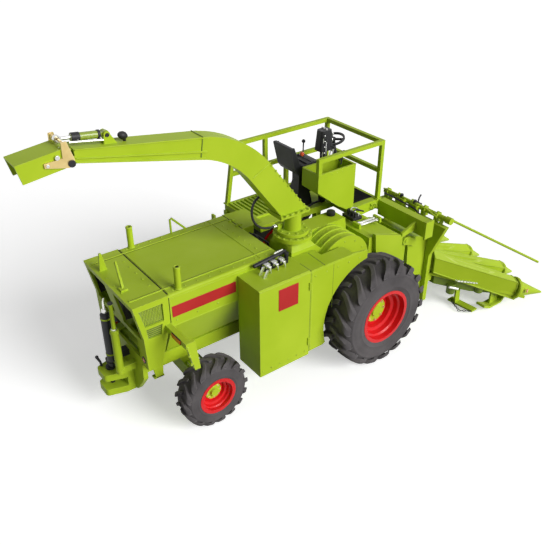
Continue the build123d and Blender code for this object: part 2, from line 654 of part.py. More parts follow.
LADDER_X = DECK_REAR_X - 3.5
LADDER_Y = DECK_LEFT_Y - 1.5
LADDER_HALF = 4.0
LADDER_FOOT = 10.0
LADDER_HEAD = DECK_TOP - DECK_LIP
STILE = (1.0, 2.4)
TREAD_DEPTH = 3.6
TREAD_T = 0.9
TREAD_PITCH = 9.0
TREADS = 5
with BuildPart() as ladder:
    for end in (-1, 1):
        with BuildSketch(Plane.XY.offset(LADDER_FOOT)):
            with Locations((LADDER_X + end * LADDER_HALF, LADDER_Y)):
                Rectangle(*STILE)
        extrude(amount=LADDER_HEAD - LADDER_FOOT)
    for step in range(TREADS):
        with BuildSketch(Plane.XY.offset(LADDER_FOOT + 2.0 + TREAD_PITCH * step)):
            with Locations((LADDER_X, LADDER_Y)):
                Rectangle(2 * LADDER_HALF, TREAD_DEPTH)
        extrude(amount=TREAD_T)
    # the hook under the deck's edge
    with BuildSketch(Plane.XY.offset(LADDER_HEAD - 2.0)):
        with Locations((LADDER_X + LADDER_HALF, LADDER_Y)):
            Rectangle(3.0, STILE[1])
    extrude(amount=2.0)
save(ladder, "ladder")

# ---------------------------------------------------------------- crop housings and tower
near_y = CROP_Y - CROP_HALF
far_y = CROP_Y + CROP_HALF
drum_top = BLOWER_Z + BLOWER_R
tower_rear = TOWER_X - TOWER_HALF_X
tower_front = TOWER_X + TOWER_HALF_X
tower_foot = TOWER_TOP - 5.0
throat_bend = (BLOWER_X - 8.0, BLOWER_Z + 9.0)
cutter_rear_x = BLOWER_X + BLOWER_R + DRUM_RIB + 0.1
gearbox_front = cutter_rear_x - 1.0
with BuildPart() as blower_housing:
    # the drum, with its bolted ribs
    with BuildSketch(wall(DRUM_FAR_Y)):
        with Locations((BLOWER_X, BLOWER_Z)):
            Circle(BLOWER_R)
    extrude(amount=DRUM_FAR_Y - near_y)
    for index in range(RIBS):
        with BuildSketch(wall(near_y + DRUM_RIB_T + index * RIB_PITCH)):
            with Locations((BLOWER_X, BLOWER_Z)):
                Circle(BLOWER_R + DRUM_RIB)
        extrude(amount=DRUM_RIB_T)
    # its flat-topped gearbox side, inboard
    with BuildSketch(wall(far_y)):
        Polygon((BLOWER_X - BLOWER_R, HOUSING_BOTTOM), (BLOWER_X - BLOWER_R, drum_top - 3.0),
                (BLOWER_X - BLOWER_R + 3.0, drum_top), (gearbox_front - 1.0, drum_top),
                (gearbox_front, drum_top - 6.0), (gearbox_front, HOUSING_BOTTOM), align=None)
    extrude(amount=far_y - DRUM_FAR_Y)
    # the throat back to the tower
    with BuildSketch(wall(CROP_Y + TOWER_HALF_Y)):
        Polygon((BLOWER_X, HOUSING_BOTTOM), (tower_rear + 3.0, HOUSING_BOTTOM),
                (tower_rear, HOUSING_BOTTOM + 4.0), (tower_rear, tower_foot), (tower_front, tower_foot),
                throat_bend, (BLOWER_X, BLOWER_Z), align=None)
    extrude(amount=2 * TOWER_HALF_Y)
save(blower_housing, "blower_housing")

with BuildPart() as chute_tower:
    with BuildSketch(Plane.XY.offset(tower_foot)):
        with Locations((TOWER_X, CROP_Y)):
            Rectangle(2 * TOWER_HALF_X, 2 * TOWER_HALF_Y)
    with BuildSketch(Plane.XY.offset(TOWER_TOP - TURNTABLE_T)):
        with Locations((TOWER_X, CROP_Y)):
            Circle(TOWER_R + 1.6)
    loft()
    with BuildSketch(Plane.XY.offset(TOWER_TOP - TURNTABLE_T)):
        with Locations((TOWER_X, CROP_Y)):
            Circle(TURNTABLE_R)
    extrude(amount=TURNTABLE_T)
    with BuildSketch(Plane.XY.offset(TOWER_TOP - 4.0)):
        with Locations((TOWER_X, CROP_Y)):
            Circle(TOWER_R - TOWER_WALL)
    extrude(amount=6.0, mode=Mode.SUBTRACT)
save(chute_tower, "chute_tower")

CUTTER_FRONT_X = 30.0
CUTTER_TOP = 54.0
CUTTER_CREST = (9.0, CUTTER_TOP)
CUTTER_BROW = (21.0, 51.5)
CUTTER_CHIN = (CUTTER_FRONT_X, 42.0)
CUTTER_NOSE_R = 13.0
COVER_T = 2.0
LIFT_CHEEK_R = 1.9
LIFT_CHEEK_T = 0.8
LIFT_PIN_REACH = 1.6     # beyond the housing's side
side_cover = ((7.5, 55.8), (24.0, 50.2), (25.4, 47.5), (25.4, 38.0), (8.8, 44.1))
with BuildPart() as cutter_housing:
    with BuildSketch(wall(far_y)):
        with BuildLine():
            Polyline((cutter_rear_x, HOUSING_BOTTOM), (CUTTER_FRONT_X, HOUSING_BOTTOM), CUTTER_CHIN)
            RadiusArc(CUTTER_CHIN, CUTTER_BROW, -CUTTER_NOSE_R)
            Polyline(CUTTER_BROW, CUTTER_CREST, (cutter_rear_x, CUTTER_TOP), (cutter_rear_x, HOUSING_BOTTOM))
        make_face()
    extrude(amount=far_y - near_y)
    # the drive's side cover, close to the wheel
    with BuildSketch(wall(near_y)):
        Polygon(*side_cover, align=None)
    extrude(amount=COVER_T)
    # the trunnion pins on which the header lifts
    with BuildSketch(wall(far_y + LIFT_PIN_REACH)):
        with Locations((LIFT_X, LIFT_Z)):
            Circle(LIFT_PIN_R)
    extrude(amount=far_y - near_y + 2 * LIFT_PIN_REACH)
    # their cheeks on the housing
    for start_y in (far_y, near_y + LIFT_CHEEK_T):
        with BuildSketch(wall(start_y)):
            with Locations((LIFT_X, LIFT_Z)):
                Circle(LIFT_CHEEK_R)
            with Locations((LIFT_X - 2.5, LIFT_Z)):
                Rectangle(5.0, 2 * LIFT_CHEEK_R)
        extrude(amount=LIFT_CHEEK_T)
save(cutter_housing, "cutter_housing")

# ---------------------------------------------------------------- platform
deck_outline = ((DECK_FRONT_X, DECK_RIGHT_Y), (DECK_FRONT_X, DECK_LEFT_Y), (DECK_REAR_X, DECK_LEFT_Y),
                (DECK_REAR_X, NOTCH_Y), (NOTCH_X, NOTCH_Y), (NOTCH_X, DECK_RIGHT_Y))
with BuildPart() as platform_deck:
    with BuildSketch(Plane.XY.offset(DECK_TOP - DECK_LIP)) as deck_shape:
        Polygon(*deck_outline, align=None)
    extrude(amount=DECK_LIP)
    with BuildSketch(Plane.XY.offset(DECK_TOP - DECK_LIP)):
        add(offset(deck_shape.sketch, amount=-SHEET, mode=Mode.PRIVATE))
    extrude(amount=DECK_LIP - DECK_T, mode=Mode.SUBTRACT)
    # the deeper fascia of the front right corner
    with BuildSketch(wall(DECK_RIGHT_Y + SHEET)):
        Polygon((NOTCH_X, DECK_TOP), (DECK_FRONT_X, DECK_TOP), (DECK_FRONT_X - 1.5, FASCIA_LOW),
                (24.0, FASCIA_LOW - 0.8), (NOTCH_X, DECK_TOP - 1.5), align=None)
    extrude(amount=SHEET)
    # posts down to the frame plates
    for post_x in DECK_POSTS_X:
        with BuildSketch(Plane.XY.offset(HOUSING_BOTTOM)):
            with Locations((post_x, RAIL_INNER_Y + RAIL_WIDTH / 2)):
                Rectangle(DECK_POST, DECK_POST)
        extrude(amount=DECK_TOP - DECK_T - HOUSING_BOTTOM)
save(platform_deck, "platform_deck")

right_y = DECK_RIGHT_Y + TUBE / 2
left_y = DECK_LEFT_Y - TUBE / 2
front_x = DECK_FRONT_X - TUBE / 2
rear_foot_x = DECK_REAR_X + TUBE / 2
rear_top_x = rear_foot_x + POST_LEAN
rail_rise = TOP_RAIL_Z - DECK_TOP
rail_end_x = front_x - TUBE / 2
mid_start = rear_foot_x + POST_LEAN * (MID_RAIL_Z - DECK_TOP) / rail_rise

with BuildPart() as rail_left:
    # the leaning rear post
    with BuildSketch(wall(DECK_LEFT_Y)):
        Polygon((rear_foot_x - TUBE / 2, DECK_TOP), (rear_foot_x + TUBE / 2, DECK_TOP),
                (rear_top_x + TUBE / 2, TOP_RAIL_Z), (rear_top_x - TUBE / 2, TOP_RAIL_Z), align=None)
    extrude(amount=TUBE)
    # the upper post stands on the middle rail, the lower one below it
    for post_x, low, high in ((SHORT_RAIL_X, MID_RAIL_Z, TOP_RAIL_Z), (LOW_POST_X, DECK_TOP, MID_RAIL_Z)):
        with BuildSketch(Plane.XY.offset(low)):
            with Locations((post_x, left_y)):
                Rectangle(TUBE, TUBE)
        extrude(amount=high - low)
    for level, start in ((TOP_RAIL_Z, rear_top_x - TUBE / 2), (MID_RAIL_Z, mid_start)):
        with BuildSketch(Plane.YZ.offset(start)):
            with Locations((left_y, level)):
                Rectangle(TUBE, TUBE)
        extrude(amount=rail_end_x - start)
save(rail_left, "rail_left")

with BuildPart() as rail_front:
    for post_y in (right_y, left_y):
        with BuildSketch(Plane.XY.offset(DECK_TOP)):
            with Locations((front_x, post_y)):
                Rectangle(TUBE, TUBE)
        extrude(amount=rail_rise + TUBE / 2)
    for level in (TOP_RAIL_Z, MID_RAIL_Z):
        with BuildSketch(wall(left_y)):
            with Locations((front_x, level)):
                Rectangle(TUBE, TUBE)
        extrude(amount=left_y - right_y)
save(rail_front, "rail_front")

CONSOLE_TOP = 78.0
CONSOLE_FRONT_X = 17.5
CONSOLE_WALL = 0.9
with BuildPart() as rail_right:
    with BuildSketch(Plane.XY.offset(CONSOLE_TOP)):
        with Locations((SHORT_RAIL_X + TUBE / 2, right_y)):
            Rectangle(TUBE, TUBE)
    extrude(amount=TOP_RAIL_Z - CONSOLE_TOP)
    with BuildSketch(Plane.YZ.offset(SHORT_RAIL_X)):
        with Locations((right_y, TOP_RAIL_Z)):
            Rectangle(TUBE, TUBE)
    extrude(amount=rail_end_x - SHORT_RAIL_X)
save(rail_right, "rail_right")

# an open-topped box beside the seat, its floor sloping down to the deck's corner
console_outline = ((SHORT_RAIL_X, CONSOLE_TOP), (SHORT_RAIL_X, 69.4), (7.8, 59.6), (NOTCH_X - 1.0, DECK_TOP),
                   (CONSOLE_FRONT_X, DECK_TOP), (CONSOLE_FRONT_X, CONSOLE_TOP))
well_rear_x = SHORT_RAIL_X + CONSOLE_WALL
well_front_x = CONSOLE_FRONT_X - CONSOLE_WALL
console_well = ((well_rear_x, CONSOLE_TOP + 1), (well_rear_x, 70.2), (9.0, 61.0), (well_front_x, 60.2),
                (well_front_x, CONSOLE_TOP + 1))
with BuildPart() as console_box:
    with BuildSketch(wall(NOTCH_Y)):
        Polygon(*console_outline, align=None)
    extrude(amount=NOTCH_Y - DECK_RIGHT_Y)
    with BuildSketch(wall(NOTCH_Y - CONSOLE_WALL)):
        Polygon(*console_well, align=None)
    extrude(amount=NOTCH_Y - DECK_RIGHT_Y - 2 * CONSOLE_WALL, mode=Mode.SUBTRACT)
    # the corner that carries the railing's post
    with BuildSketch(Plane.XY.offset(CONSOLE_TOP - 5.0)):
        with Locations((SHORT_RAIL_X + TUBE / 2, right_y)):
            Rectangle(TUBE, TUBE)
    extrude(amount=5.0)
save(console_box, "console_box")

# an open grating laid on the deck behind the driver
GRATING_X = -17.0
GRATING_Y = 25.0
GRATING = 20.0
GRATING_T = 1.0
GRATING_BORDER = 1.0
BARS = 8
BAR_PITCH = 2.25
BAR_WIDTH = 0.9
with BuildPart() as deck_grating:
    with BuildSketch(Plane.XY.offset(DECK_TOP)):
        with Locations((GRATING_X, GRATING_Y)):
            Rectangle(GRATING, GRATING)
            Rectangle(GRATING - 2 * GRATING_BORDER, GRATING - 2 * GRATING_BORDER, mode=Mode.SUBTRACT)
            with GridLocations(BAR_PITCH, 0, BARS, 1):
                Rectangle(BAR_WIDTH, GRATING - 1.5)
    extrude(amount=GRATING_T)
save(deck_grating, "deck_grating")

SEAT_X = 1.0
SEAT_Y = 16.5
SEAT_TOP = 76.5
SEAT_HALF = 6.5
PEDESTAL_FOOT = 9.0
PEDESTAL_HEAD = 5.0
PEDESTAL_TAPER = 12.0    # height of its flared foot
# the shell from the side, about its middle and its top: forwards, upwards
SHELL = ((7.6, -3.0), (8.0, 0.0), (5.0, 0.5), (-3.0, -0.3), (-5.4, 1.6), (-8.6, 10.4),
         (-10.8, 10.6), (-8.0, -0.5), (-6.0, -3.0))
with BuildPart() as seat:
    with BuildSketch(Plane.XY.offset(DECK_TOP)):
        with Locations((SEAT_X, SEAT_Y)):
            Rectangle(PEDESTAL_FOOT, PEDESTAL_FOOT)
    with BuildSketch(Plane.XY.offset(DECK_TOP + PEDESTAL_TAPER)):
        with Locations((SEAT_X, SEAT_Y)):
            Rectangle(PEDESTAL_HEAD, PEDESTAL_HEAD)
    loft()
    with BuildSketch(Plane.XY.offset(DECK_TOP + PEDESTAL_TAPER)):
        with Locations((SEAT_X, SEAT_Y)):
            Rectangle(PEDESTAL_HEAD, PEDESTAL_HEAD)
    extrude(amount=SEAT_TOP - 1.6 - DECK_TOP - PEDESTAL_TAPER)
    with BuildSketch(wall(SEAT_Y + SEAT_HALF)) as seat_profile:
        Polygon(*((SEAT_X + ahead, SEAT_TOP + up) for ahead, up in SHELL), align=None)
        fillet(seat_profile.vertices(), radius=0.5)
    extrude(amount=2 * SEAT_HALF)
save(seat, "seat")

WHEEL_X = 21.0
WHEEL_Y = 16.5
WHEEL_Z = 82.5
WHEEL_R = 5.6
COLUMN_FOOT_R = 1.6
POD_X = 10.5
POD_Y = NOTCH_Y + 3.2
POD_POST = 2.4
POD_LOW = 82.0
POD_HIGH = 91.5
POD_FOOT = (7.5, 5.6)
POD_HEAD = (6.0, 4.6)
POD_CORNER_R = 1.2
wheel_plane = Plane(origin=(WHEEL_X, WHEEL_Y, WHEEL_Z), x_dir=(1, 0, 0.25), z_dir=(-0.25, 0, 1))
with BuildPart() as driver_controls:
    # column and steering wheel
    with BuildSketch(Plane.XY.offset(DECK_TOP)):
        with Locations((WHEEL_X + 5.0, WHEEL_Y)):
            Circle(COLUMN_FOOT_R)
    with BuildSketch(wheel_plane):
        Circle(0.9)
    loft()
    with BuildSketch(wheel_plane):
        Circle(WHEEL_R)
        Circle(WHEEL_R - 0.9, mode=Mode.SUBTRACT)
        with PolarLocations(WHEEL_R / 2 - 0.2, 3, start_angle=60):
            Rectangle(WHEEL_R - 0.6, 0.8)
        Circle(1.3)
    extrude(amount=0.9)
    # the instrument pod on its post, beside the console box
    with BuildSketch(Plane.XY.offset(DECK_TOP)):
        with Locations((POD_X, POD_Y)):
            Rectangle(POD_POST, POD_POST)
    extrude(amount=POD_LOW - DECK_TOP)
    with BuildSketch(Plane.XY.offset(POD_LOW)):
        with Locations((POD_X, POD_Y)):
            RectangleRounded(*POD_FOOT, POD_CORNER_R)
    with BuildSketch(Plane.XY.offset(POD_HIGH)):
        with Locations((POD_X, POD_Y)):
            RectangleRounded(*POD_HEAD, POD_CORNER_R)
    loft()
save(driver_controls, "driver_controls")

BEAM_Z = 51.2
BEAM_DEPTH = 4.2
BEAM_HEIGHT = 7.6
BEAM_WALL = 0.8
BEAM_X = DECK_FRONT_X + 1.3
BEAM_END_Y = -34.5
tie_outline = ((25.7, 50.0), (BEAM_X, BEAM_Z + 3.0), (BEAM_X, BEAM_Z - 2.4), (30.6, 48.8), (25.7, 47.8))
tab_rear_x = DECK_FRONT_X + SEAT_GAP
with BuildPart() as cross_beam:
    with BuildSketch(wall(DECK_RIGHT_Y)):
        with Locations((BEAM_X, BEAM_Z)):
            Rectangle(BEAM_DEPTH, BEAM_HEIGHT)
            Rectangle(BEAM_DEPTH - 2 * BEAM_WALL, BEAM_HEIGHT - 2 * BEAM_WALL, mode=Mode.SUBTRACT)
    extrude(amount=DECK_RIGHT_Y - BEAM_END_Y)
    with BuildSketch(wall(BEAM_END_Y + 1.0)):
        with Locations((BEAM_X, BEAM_Z)):
            Rectangle(BEAM_DEPTH + 1.0, BEAM_HEIGHT + 1.0)
    extrude(amount=1.0)
    # the bracket that ties it to the cutter housing, and its tab on the deck's front
    with BuildSketch(wall(near_y)):
        Polygon(*tie_outline, align=None)
    extrude(amount=1.2)
    with BuildSketch(Plane.XY.offset(BEAM_Z - 2.0)):
        Polygon((tab_rear_x, DECK_RIGHT_Y), (BEAM_X + BEAM_DEPTH / 2, DECK_RIGHT_Y),
                (tab_rear_x, DECK_RIGHT_Y + 4.5), align=None)
    extrude(amount=4.0)
save(cross_beam, "cross_beam")

# ---------------------------------------------------------------- spout
NECK_WALL = 0.9
FLANGE_R = TURNTABLE_R - 1.4
FLANGE_T = 1.4
PLATE_T = 1.6
PLATE_LENGTH = 14.6
PLATE_SHIFT = -2.2       # the spout's foot plate reaches further back than forwards
PLATE_MARGIN = 1.0
flange_low = TOWER_TOP + WORKING_GAP
# a grease hose loops from a block on the spout's leg down to a block on its flange
HOSE_R = 0.5
HOSE_BLOCK = (2.4, 2.2, 2.2)
HOSE_ROUTE = (
    (-33.5, -10.6, 82.4),
    (-39.5, -10.6, 82.4),
    (-44.6, -10.6, 80.3),
    (-46.2, -10.8, 75.2),
    (-44.6, -11.2, 69.8),
    (-39.8, -12.2, 66.6),
    (-34.4, -12.2, 66.6),
)
with BuildPart() as spout_base:
    with BuildSketch(Plane.XY.offset(flange_low)):
        with Locations((TOWER_X, CROP_Y)):
            Circle(FLANGE_R)
            Circle(NECK_R - NECK_WALL, mode=Mode.SUBTRACT)
    extrude(amount=FLANGE_T)
    with BuildSketch(Plane.XY.offset(flange_low)):
        with Locations((TOWER_X, CROP_Y)):
            Circle(NECK_R)
            Circle(NECK_R - NECK_WALL, mode=Mode.SUBTRACT)
    extrude(amount=SPOUT_BASE_Z - PLATE_T - flange_low)
    with BuildSketch(Plane.XY.offset(SPOUT_BASE_Z - PLATE_T)):
        with Locations((TOWER_X + PLATE_SHIFT, CROP_Y)):
            Rectangle(PLATE_LENGTH, 2 * (SPOUT_HALF + PLATE_MARGIN))
        with Locations((TOWER_X, CROP_Y)):
            Circle(NECK_R - NECK_WALL, mode=Mode.SUBTRACT)
    extrude(amount=PLATE_T)
    # the hose's lower block
    with BuildSketch(Plane.XY.offset(flange_low + FLANGE_T)):
        with Locations((HOSE_ROUTE[-1][0] + HOSE_BLOCK[0] / 2, HOSE_ROUTE[-1][1])):
            Rectangle(HOSE_BLOCK[0], HOSE_BLOCK[1])
    extrude(amount=HOSE_ROUTE[-1][2] + HOSE_BLOCK[2] / 2 - flange_low - FLANGE_T)
save(spout_base, "spout_base")

hose_runs = [Vector(*end) - Vector(*start) for start, end in zip(HOSE_ROUTE, HOSE_ROUTE[1:])]
hose_turns = [before.get_angle(after) for before, after in zip(hose_runs, hose_runs[1:])]
hose_radii = [
    0.45 * min(before.length, after.length) / tan(radians(turn / 2))
    for before, after, turn in zip(hose_runs, hose_runs[1:], hose_turns)
]
print("hose radii", [round(radius, 2) for radius in hose_radii])
with BuildPart() as chute_hose:
    with BuildLine() as hose_line:
        FilletPolyline(*HOSE_ROUTE, radius=hose_radii)
    with BuildSketch(Plane(origin=HOSE_ROUTE[0], z_dir=hose_runs[0])):
        Circle(HOSE_R)
    sweep()
save(chute_hose, "chute_hose")

# The spout's side profile: a straight leg, one bend, and a boom that tapers to its mouth.
LEG_TOP_X = -24.4
LEG_FOOT_X = -37.4
BEND_OUT = (-53.8, 113.2)
BEND_IN = (-59.8, 104.9)
MOUTH_X = -116.5
MOUTH_TOP = 122.1
MOUTH_BOTTOM = 117.6
FLAP_PIVOT = (-118.3, 118.6)
FLAP_MARGIN = 1.0        # the flap is this much wider than the spout, each side
FLAP_WALL = 0.7
PIVOT_R = 0.5
LINK_T = 0.6
ROD_EYE = (-119.8, 125.1)
ROD_PIN_R = 0.4
EYE_PLAY = 0.3           # the link pin's play in the rod's eye
EAR_R = 1.3
CYLINDER_FOOT = (-104.5, 123.4)
FOOT_PIN_R = 0.5
FOOT_EYE_R = 1.2
FOOT_EYE_T = 1.2
ROD_EYE_T = 1.6

with BuildPart() as gooseneck:
    with BuildSketch(wall(CROP_Y + SPOUT_HALF)) as outer_profile:
        with BuildLine():
            FilletPolyline((LEG_TOP_X, SPOUT_BASE_Z), BEND_OUT, (MOUTH_X, MOUTH_TOP), radius=SPOUT_OUTER_R)
            FilletPolyline((LEG_FOOT_X, SPOUT_BASE_Z), BEND_IN, (MOUTH_X, MOUTH_BOTTOM), radius=SPOUT_INNER_R)
            Line((LEG_TOP_X, SPOUT_BASE_Z), (LEG_FOOT_X, SPOUT_BASE_Z))
            Line((MOUTH_X, MOUTH_TOP), (MOUTH_X, MOUTH_BOTTOM))
        make_face()
    extrude(amount=2 * SPOUT_HALF)
    with BuildSketch(wall(CROP_Y + SPOUT_HALF - SPOUT_WALL)):
        add(offset(outer_profile.sketch, amount=-SPOUT_WALL, kind=Kind.INTERSECTION, mode=Mode.PRIVATE))
    extrude(amount=2 * (SPOUT_HALF - SPOUT_WALL), mode=Mode.SUBTRACT)
    # its two open ends
    with BuildSketch(wall(CROP_Y + SPOUT_HALF - SPOUT_WALL)):
        Polygon((MOUTH_X - 1, MOUTH_TOP - SPOUT_WALL), (MOUTH_X + 2, MOUTH_TOP - SPOUT_WALL - 0.3),
                (MOUTH_X + 2, MOUTH_BOTTOM + SPOUT_WALL - 0.1),
                (MOUTH_X - 1, MOUTH_BOTTOM + SPOUT_WALL + 0.2), align=None)
        Polygon((LEG_TOP_X - 1.2, SPOUT_BASE_Z - 1), (LEG_TOP_X - 2.0, SPOUT_BASE_Z + 1.5),
                (LEG_FOOT_X + 0.2, SPOUT_BASE_Z + 1.5), (LEG_FOOT_X + 1.4, SPOUT_BASE_Z - 1), align=None)
    extrude(amount=2 * (SPOUT_HALF - SPOUT_WALL), mode=Mode.SUBTRACT)
    # the hose's upper block
    with BuildSketch(wall(CROP_Y + SPOUT_HALF + HOSE_BLOCK[1])):
        with Locations((HOSE_ROUTE[0][0] + HOSE_BLOCK[0] / 2, HOSE_ROUTE[0][2])):
            Rectangle(HOSE_BLOCK[0], HOSE_BLOCK[2])
    extrude(amount=HOSE_BLOCK[1])
    # ears and pins that carry the flap
    ear_web = ((FLAP_PIVOT[0], FLAP_PIVOT[1] - 1.0), (MOUTH_X + 1.0, FLAP_PIVOT[1] - 1.0),
               (MOUTH_X + 1.0, FLAP_PIVOT[1] + EAR_R), (FLAP_PIVOT[0], FLAP_PIVOT[1] + EAR_R))
    for side, sign in SIDES:
        with BuildSketch(wall(CROP_Y + sign * (SPOUT_HALF - SPOUT_WALL))):
            with Locations(FLAP_PIVOT):
                Circle(EAR_R)
            Polygon(*ear_web, align=None)
        extrude(amount=-sign * SPOUT_WALL)
        with BuildSketch(wall(CROP_Y + sign * (SPOUT_HALF - SPOUT_WALL / 2))):
            with Locations(FLAP_PIVOT):
                Circle(PIVOT_R)
        extrude(amount=-sign * (FLAP_MARGIN + LINK_T + 0.7))
save(gooseneck, "gooseneck")

# the flap's hood from the side, and the hollow cut out of it from its mouth side
flap_outline = ((-135.0, 121.6), (-133.5, 115.4), (-120.2, 117.2), (-117.6, 122.9), (-120.8, 123.4))
flap_hollow = ((-136.0, 120.9), (-134.5, 114.0), (-116.5, 116.5), (-115.9, 122.2), (-120.9, 122.7))
with BuildPart() as flap:
    with BuildSketch(wall(CROP_Y + SPOUT_HALF + FLAP_MARGIN)):
        Polygon(*flap_outline, align=None)
    extrude(amount=2 * (SPOUT_HALF + FLAP_MARGIN))
    with BuildSketch(wall(CROP_Y + SPOUT_HALF + FLAP_MARGIN - FLAP_WALL)):
        Polygon(*flap_hollow, align=None)
    extrude(amount=2 * (SPOUT_HALF + FLAP_MARGIN - FLAP_WALL), mode=Mode.SUBTRACT)
save(flap, "flap")

link_y = SPOUT_HALF + FLAP_MARGIN
link_outline = ((-117.2, 117.6), (-117.2, 119.8), (-118.9, 125.6), (-120.6, 125.6), (-120.8, 120.8),
                (-126.6, 120.4), (-126.6, 119.0), (-119.5, 117.4))
with BuildPart() as flap_links:
    for side, sign in SIDES:
        with BuildSketch(wall(CROP_Y + sign * link_y)):
            Polygon(*link_outline, align=None)
            with Locations(FLAP_PIVOT):
                Circle(PIVOT_R + RUNNING_GAP, mode=Mode.SUBTRACT)
        extrude(amount=-sign * LINK_T)
    with BuildSketch(wall(CROP_Y + link_y + LINK_T)):
        with Locations(ROD_EYE):
            Circle(ROD_PIN_R)
    extrude(amount=2 * (link_y + LINK_T))
save(flap_links, "flap_links")

rod_dx = ROD_EYE[0] - CYLINDER_FOOT[0]
rod_dz = ROD_EYE[1] - CYLINDER_FOOT[1]
rod_length = hypot(rod_dx, rod_dz)
stroke_dir = (rod_dx / rod_length, 0, rod_dz / rod_length)
BARREL_R = 1.25
BARREL_START = 2.6       # from the foot pin
BARREL_LENGTH = 8.6
BARREL_WALL_END = 1.0    # the closed end of its bore
ROD_START = 5.6
ROD_R = 0.6


def along(distance: float) -> Plane:
    """A plane square to the flap cylinder's axis, this far from its foot pin."""
    station_x = CYLINDER_FOOT[0] + stroke_dir[0] * distance
    station_z = CYLINDER_FOOT[1] + stroke_dir[2] * distance
    return Plane(origin=(station_x, CROP_Y, station_z), x_dir=(0, 1, 0), z_dir=stroke_dir)


with BuildPart() as flap_cylinder:
    with BuildSketch(along(BARREL_START)):
        Circle(BARREL_R)
    extrude(amount=BARREL_LENGTH)
    with BuildSketch(along(BARREL_START - 1.7)):
        Rectangle(FOOT_EYE_T, FOOT_EYE_T)
    extrude(amount=2.0)
    with BuildSketch(wall(CROP_Y + FOOT_EYE_T / 2)):
        with Locations(CYLINDER_FOOT):
            Circle(FOOT_EYE_R)
            Circle(FOOT_PIN_R + RUNNING_GAP, mode=Mode.SUBTRACT)
    extrude(amount=FOOT_EYE_T)
    with BuildSketch(along(BARREL_START + BARREL_WALL_END)):
        Circle(ROD_R + RUNNING_GAP)
    extrude(amount=BARREL_LENGTH, mode=Mode.SUBTRACT)
save(flap_cylinder, "flap_cylinder")

with BuildPart() as flap_rod:
    with BuildSketch(along(ROD_START)):
        Circle(ROD_R)
    extrude(amount=rod_length - ROD_START - 0.9)
    with BuildSketch(wall(CROP_Y + ROD_EYE_T / 2)):
        with Locations(ROD_EYE):
            Circle(FOOT_EYE_R)
            Circle(ROD_PIN_R + EYE_PLAY, mode=Mode.SUBTRACT)
    extrude(amount=ROD_EYE_T)
save(flap_rod, "flap_rod")

BRACKET_GAP = 0.8        # from the middle to each cheek
CHEEK_T = 0.8
CHEEK_R = 1.1
cheek_outline = ((-105.8, 120.62), (CYLINDER_FOOT[0] - CHEEK_R, CYLINDER_FOOT[1]),
                 (CYLINDER_FOOT[0] + CHEEK_R, CYLINDER_FOOT[1]), (-101.4, 120.0))
with BuildPart() as cylinder_bracket:
    for side, sign in SIDES:
        with BuildSketch(wall(CROP_Y + sign * BRACKET_GAP)):
            Polygon(*cheek_outline, align=None)
            with Locations(CYLINDER_FOOT):
                Circle(CHEEK_R)
        extrude(amount=-sign * CHEEK_T)
    with BuildSketch(wall(CROP_Y + BRACKET_GAP + CHEEK_T)):
        with Locations(CYLINDER_FOOT):
            Circle(FOOT_PIN_R)
    extrude(amount=2 * (BRACKET_GAP + CHEEK_T))
save(cylinder_bracket, "cylinder_bracket")

# ---------------------------------------------------------------- header
row_lines = [CROP_Y + (index - ROWS / 2) * ROW_PITCH for index in range(ROWS + 1)]
squeeze = THROAT_HALF / (ROW_PITCH * ROWS / 2)


def at_throat(line_y: float) -> float:
    """Where a line that ends at this y at the front leaves the throat."""
    return CROP_Y + (line_y - CROP_Y) * squeeze


feeder_side = ((31.4, 46.4), (HEADER_REAR_X, 41.6), (HEADER_REAR_X, 11.5), (34.0, 13.5))
feeder_bore = ((31.0, 43.5), (HEADER_REAR_X + 1, MOUTH_HIGH), (HEADER_REAR_X + 1, MOUTH_LOW), (31.0, 17.0))
EAR_SIDE_GAP = 0.3
LIFT_EAR_T = 0.9
LIFT_EAR_R = 2.0
ear_y = CROP_HALF + EAR_SIDE_GAP
ear_outline = ((LIFT_X, LIFT_Z + LIFT_EAR_R), (35.5, 44.6), (36.5, 40.0), (LIFT_X, LIFT_Z - LIFT_EAR_R))
ear_root = ((32.6, 45.0), (35.5, 44.6), (36.5, 40.0), (33.2, 41.0))
with BuildPart() as feeder_housing:
    with BuildSketch(wall(far_y)):
        Polygon(*feeder_side, align=None)
    extrude(amount=2 * CROP_HALF)
    with BuildSketch(wall(CROP_Y + MOUTH_HALF)):
        Polygon(*feeder_bore, align=None)
    extrude(amount=2 * MOUTH_HALF, mode=Mode.SUBTRACT)
    # ears round the trunnion pins
    for side, sign in SIDES:
        with BuildSketch(wall(CROP_Y + sign * (ear_y + LIFT_EAR_T))):
            with Locations((LIFT_X, LIFT_Z)):
                Circle(LIFT_EAR_R)
            Polygon(*ear_outline, align=None)
            with Locations((LIFT_X, LIFT_Z)):
                Circle(LIFT_PIN_R + RUNNING_GAP, mode=Mode.SUBTRACT)
        extrude(amount=sign * LIFT_EAR_T)
        with BuildSketch(wall(CROP_Y + sign * (ear_y + LIFT_EAR_T))):
            Polygon(*ear_root, align=None)
        extrude(amount=sign * (LIFT_EAR_T + EAR_SIDE_GAP + 0.2))
save(feeder_housing, "feeder_housing")

